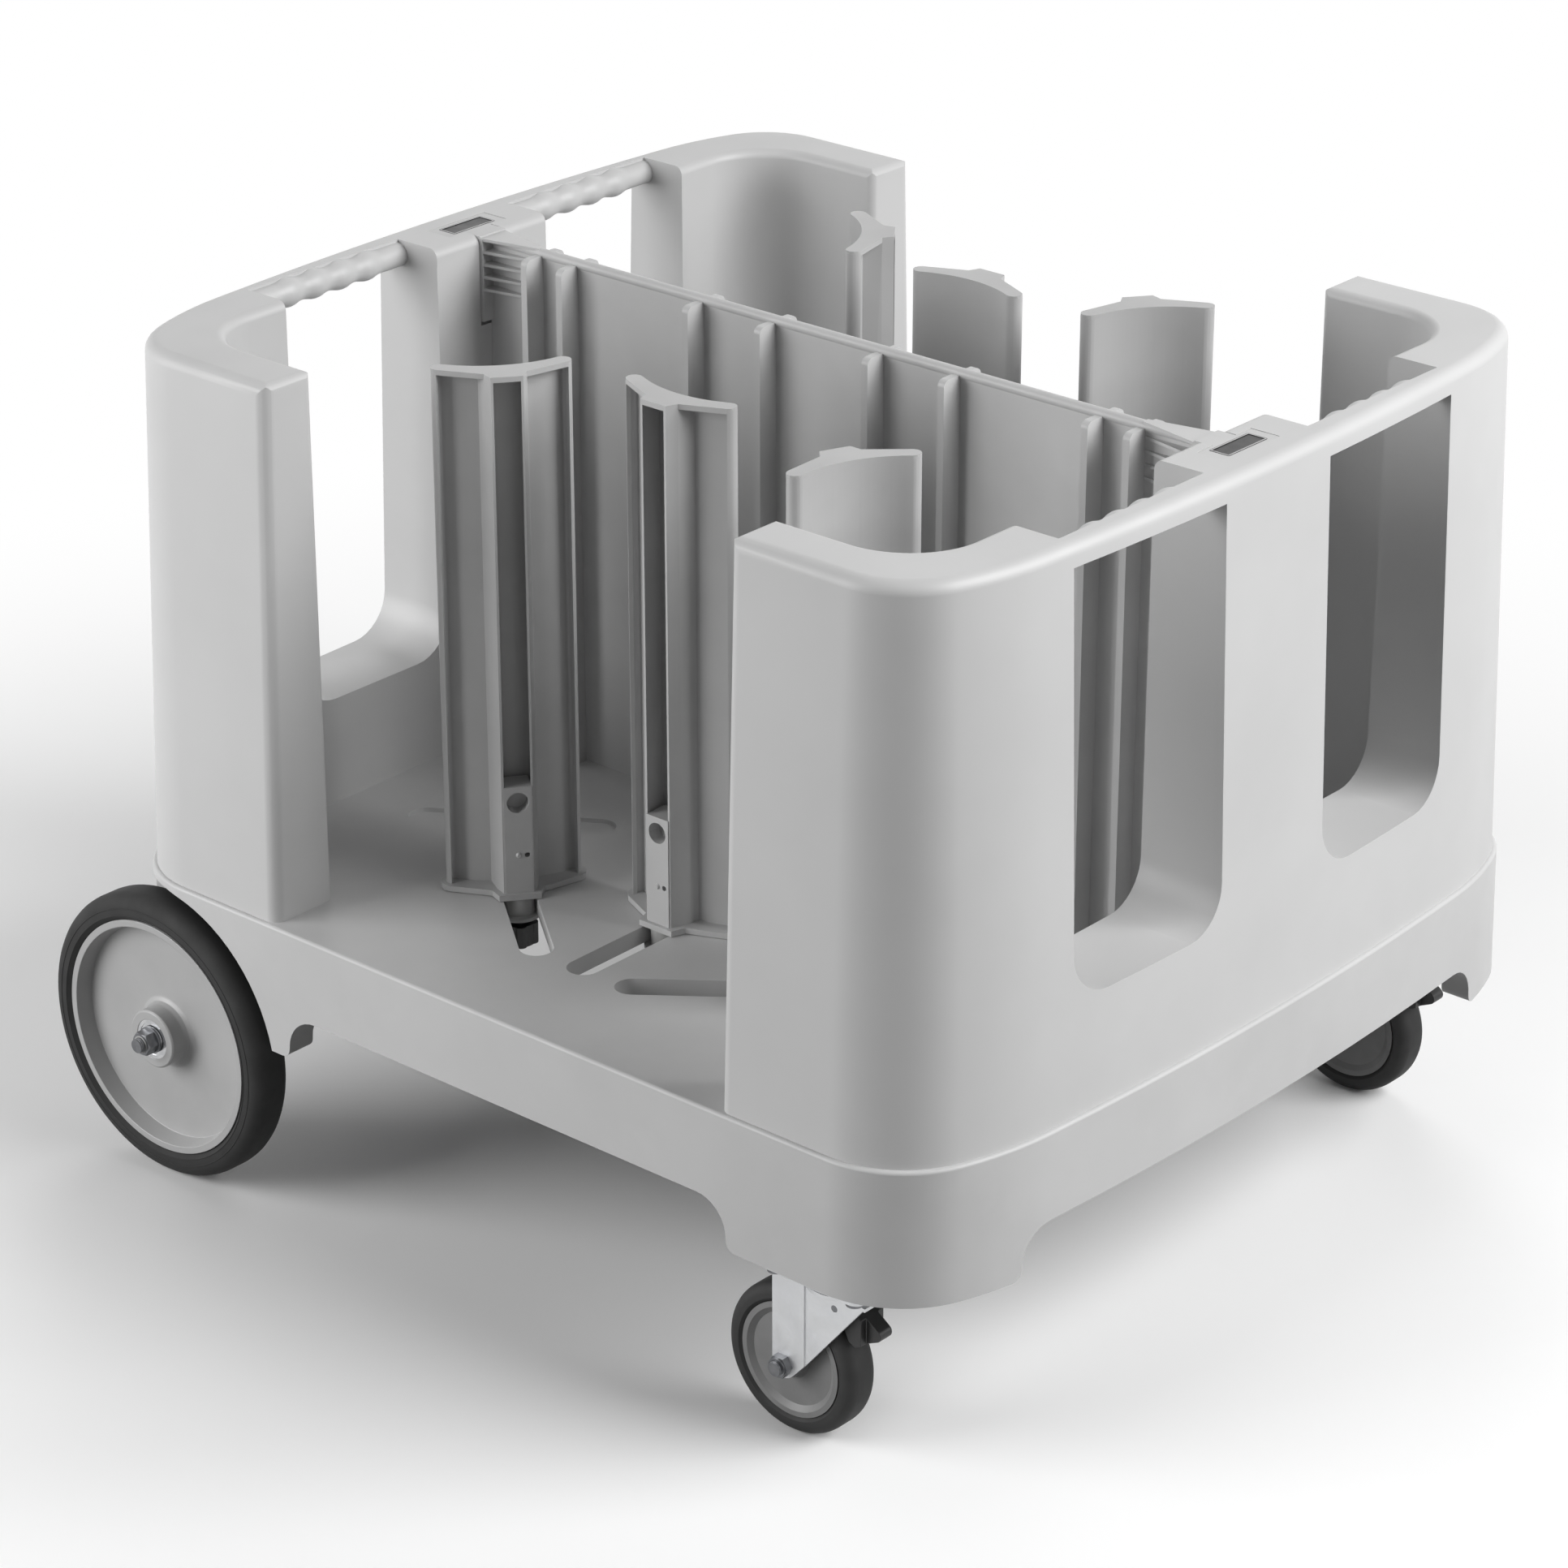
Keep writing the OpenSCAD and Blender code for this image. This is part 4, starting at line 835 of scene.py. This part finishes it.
@dataclass
class Casters(SubAssembly):
    """The two swivel casters with their brakes and plates."""

    threads: ThreadPattern
    bolt_cut: ThreadCut = ThreadCut(core_mm=5.8, ridge_mm=0.5, plain_end_mm=0.6)

    def build(self) -> None:
        """Dresses plates and casters, and adds the thread past each lock nut."""
        self.dress("caster_plates", ZINC_SHEET, Edge.PRESSED)
        self.dress("caster_bolts", ZINC_FASTENER, Edge.TURNED)
        self.dress("kingpins", ZINC_FASTENER, Edge.TURNED)
        for side, _ in SIDES:
            self.dress(f"caster_fork_{side}", ZINC_SHEET, Edge.PRESSED)
            self.dress(f"caster_bolt_{side}", ZINC_FASTENER, Edge.TURNED)
            self.dress(f"caster_nut_{side}", ZINC_FASTENER, Edge.TURNED)
            self.dress(f"caster_disc_{side}", CASTER_NYLON)
            self.dress(f"caster_tyre_{side}", TREAD_RUBBER)
            self.dress(f"brake_pedal_{side}", BLACK_NYLON, Edge.SOFT)
        for side, out in SIDES:
            self.bolt_end(side, out)

    def bolt_end(self, side: str, out: int) -> None:
        """Adds the thread past the lock nut of one caster's axle bolt.

        Args:
            side: The side's name.
            out: The sign of Y that points outwards there.
        """
        low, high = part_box(f"caster_nut_{side}")
        bolt_low, bolt_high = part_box(f"caster_bolt_{side}")
        nut_y, end_y = (high.y, bolt_high.y) if out > 0 else (low.y, bolt_low.y)
        centre = on_axis(low, high, nut_y)
        name = f"caster_bolt_thread_{side}"
        thread = self.threads.wind(name, centre, end_y, out, self.bolt_cut)
        self.add_piece(thread, name, BODY_OF[f"caster_bolt_{side}"], ZINC_FASTENER)


@dataclass
class Towers(SubAssembly):
    """The six dish towers with the bushes, studs and knobs that hold them in the slots."""

    count: int = 6

    def build(self) -> None:
        """Dresses every tower and what clamps it."""
        for number in range(1, self.count + 1):
            self.dress(f"tower_{number}", TOWER_PLASTIC, Edge.MOULDED)
            self.dress(f"tower_stud_{number}", ZINC_FASTENER)
            self.dress(f"slot_bush_{number}", BUSH_NYLON, Edge.PRESSED)
            self.dress(f"clamp_knob_{number}", BLACK_NYLON, Edge.MOULDED)


@dataclass(frozen=True)
class SoftBox:
    """A square lamp that the camera doesn't see, in metres and watts."""

    name: str
    spot: tuple[float, float, float]
    size: float
    power: float
    mirrored: bool = True

    def hang(self, target: Vector) -> None:
        """Puts the lamp up.

        Args:
            target: The point that it faces.
        """
        lamp = bpy.data.lights.new(self.name, "AREA")
        lamp.shape = "SQUARE"
        lamp.size = self.size
        lamp.energy = self.power
        holder = bpy.data.objects.new(self.name, lamp)
        bpy.context.scene.collection.objects.link(holder)
        holder.location = self.spot
        aim = Vector(self.spot) - target
        holder.rotation_euler = aim.to_track_quat("Z", "Y").to_euler()
        holder.visible_camera = False
        holder.visible_glossy = self.mirrored


@dataclass
class Studio:
    """White floor and surroundings, soft light and the photograph's camera."""

    camera_at: tuple[float, float, float] = (2.4051, -2.8003, 2.0083)
    azimuth_deg: float = 40.96
    elevation_deg: float = 24.55
    lens_mm: float = 111.27
    clip_start: float = 0.1
    clip_end: float = 100.0
    floor_r: float = 12.0
    floor_steps: int = 96
    floor_roughness: float = 0.8
    fade_from: float = 0.75
    fade_to: float = 1.7
    floor_hex: str = "#606060"
    floor_seen_hex: str = "#FAFAFA"
    sky: float = 0.07
    soft_boxes: tuple[SoftBox, ...] = (
        SoftBox("right_softbox", (3.1, 1.1, 2.6), size=2.6, power=184.0),
        SoftBox("left_softbox", (-1.9, -2.8, 1.3), size=2.4, power=104.0),
        SoftBox("back_softbox", (-2.4, 2.6, 2.0), size=2.2, power=42.0, mirrored=False),
    )

    def build(self) -> None:
        """Sets up everything round the cart."""
        self.floor()
        self.world()
        self.lamps()
        self.camera()
        bpy.context.scene.view_settings.view_transform = "Standard"

    def floor(self) -> None:
        """Makes the floor.

        The camera sees it near white with the cart's shadow, fading to pure white further
        out. The light that it throws back on the cart is that of a middle grey.
        """
        work = bmesh.new()
        bmesh.ops.create_circle(
            work, cap_ends=True, segments=self.floor_steps, radius=self.floor_r)
        mesh = bpy.data.meshes.new("studio_floor")
        work.to_mesh(mesh)
        work.free()
        floor = bpy.data.objects.new("studio_floor", mesh)
        bpy.context.scene.collection.objects.link(floor)
        paint = bpy.data.materials.new("painted_floor_white")
        paint.use_nodes = True
        tree = paint.node_tree
        tree.nodes.clear()
        place = add_node(tree, "ShaderNodeTexCoord").outputs["Object"]
        away = add_node(tree, "ShaderNodeVectorMath", {0: place}, operation="LENGTH")
        fade = add_node(tree, "ShaderNodeMapRange", {
            "Value": away.outputs["Value"], "From Min": self.fade_from, "From Max": self.fade_to,
        }, interpolation_type="SMOOTHSTEP")
        seen = seen_directly(tree)
        share = add_node(tree, "ShaderNodeMath", {
            0: fade.outputs["Result"], 1: seen}, operation="MULTIPLY")
        colour = add_node(tree, "ShaderNodeMix", {
            0: seen, MIX_A: linear(self.floor_hex), MIX_B: linear(self.floor_seen_hex),
        }, data_type="RGBA").outputs[MIX_COLOUR]
        matt = add_node(tree, "ShaderNodeBsdfPrincipled", {
            "Base Color": colour, "Roughness": self.floor_roughness})
        white = add_node(tree, "ShaderNodeEmission", {"Color": WHITE, "Strength": 1.0})
        both = add_node(tree, "ShaderNodeMixShader", {
            0: share.outputs[0], 1: matt.outputs[0], 2: white.outputs[0]})
        add_node(tree, "ShaderNodeOutputMaterial", {"Surface": both.outputs[0]})
        mesh.materials.append(paint)

    def world(self) -> None:
        """Makes the surroundings: white to the camera and in reflections, a low sky for light."""
        world = bpy.data.worlds.new("white_studio")
        bpy.context.scene.world = world
        world.use_nodes = True
        tree = world.node_tree
        tree.nodes.clear()
        level = add_node(tree, "ShaderNodeMapRange", {
            "Value": seen_directly(tree), "To Min": self.sky, "To Max": 1.0})
        back = add_node(tree, "ShaderNodeBackground", {
            "Color": WHITE, "Strength": level.outputs["Result"]})
        add_node(tree, "ShaderNodeOutputWorld", {"Surface": back.outputs[0]})

    def lamps(self) -> None:
        """Hangs the soft boxes, all facing the cart's middle."""
        target = (CAD_BOX[0] + CAD_BOX[1]) / 2
        for box in self.soft_boxes:
            box.hang(target)

    def camera(self) -> None:
        """Puts the camera where the photograph was taken from."""
        lens = bpy.data.cameras.new("photo_camera")
        lens.lens = self.lens_mm
        lens.clip_start = self.clip_start
        lens.clip_end = self.clip_end
        holder = bpy.data.objects.new("photo_camera", lens)
        bpy.context.scene.collection.objects.link(holder)
        turn, tilt = math.radians(self.azimuth_deg), math.radians(self.elevation_deg)
        back = Vector((
            math.sin(turn) * math.cos(tilt), -math.cos(turn) * math.cos(tilt), math.sin(tilt)))
        holder.location = self.camera_at
        holder.rotation_euler = back.to_track_quat("Z", "Y").to_euler()
        bpy.context.scene.camera = holder


def main() -> None:
    """Builds the studio, then the cart's finished pieces."""
    logging.basicConfig(level=logging.INFO, format="%(message)s")
    threads, ribs = ThreadPattern(), RingPattern()
    Studio().build()
    groups = (Body(), BadgePlates(), RearWheels(threads, ribs), Casters(threads), Towers())
    for group in groups:
        group.build()
    bpy.context.view_layer.update()


if __name__ == "__main__":
    main()
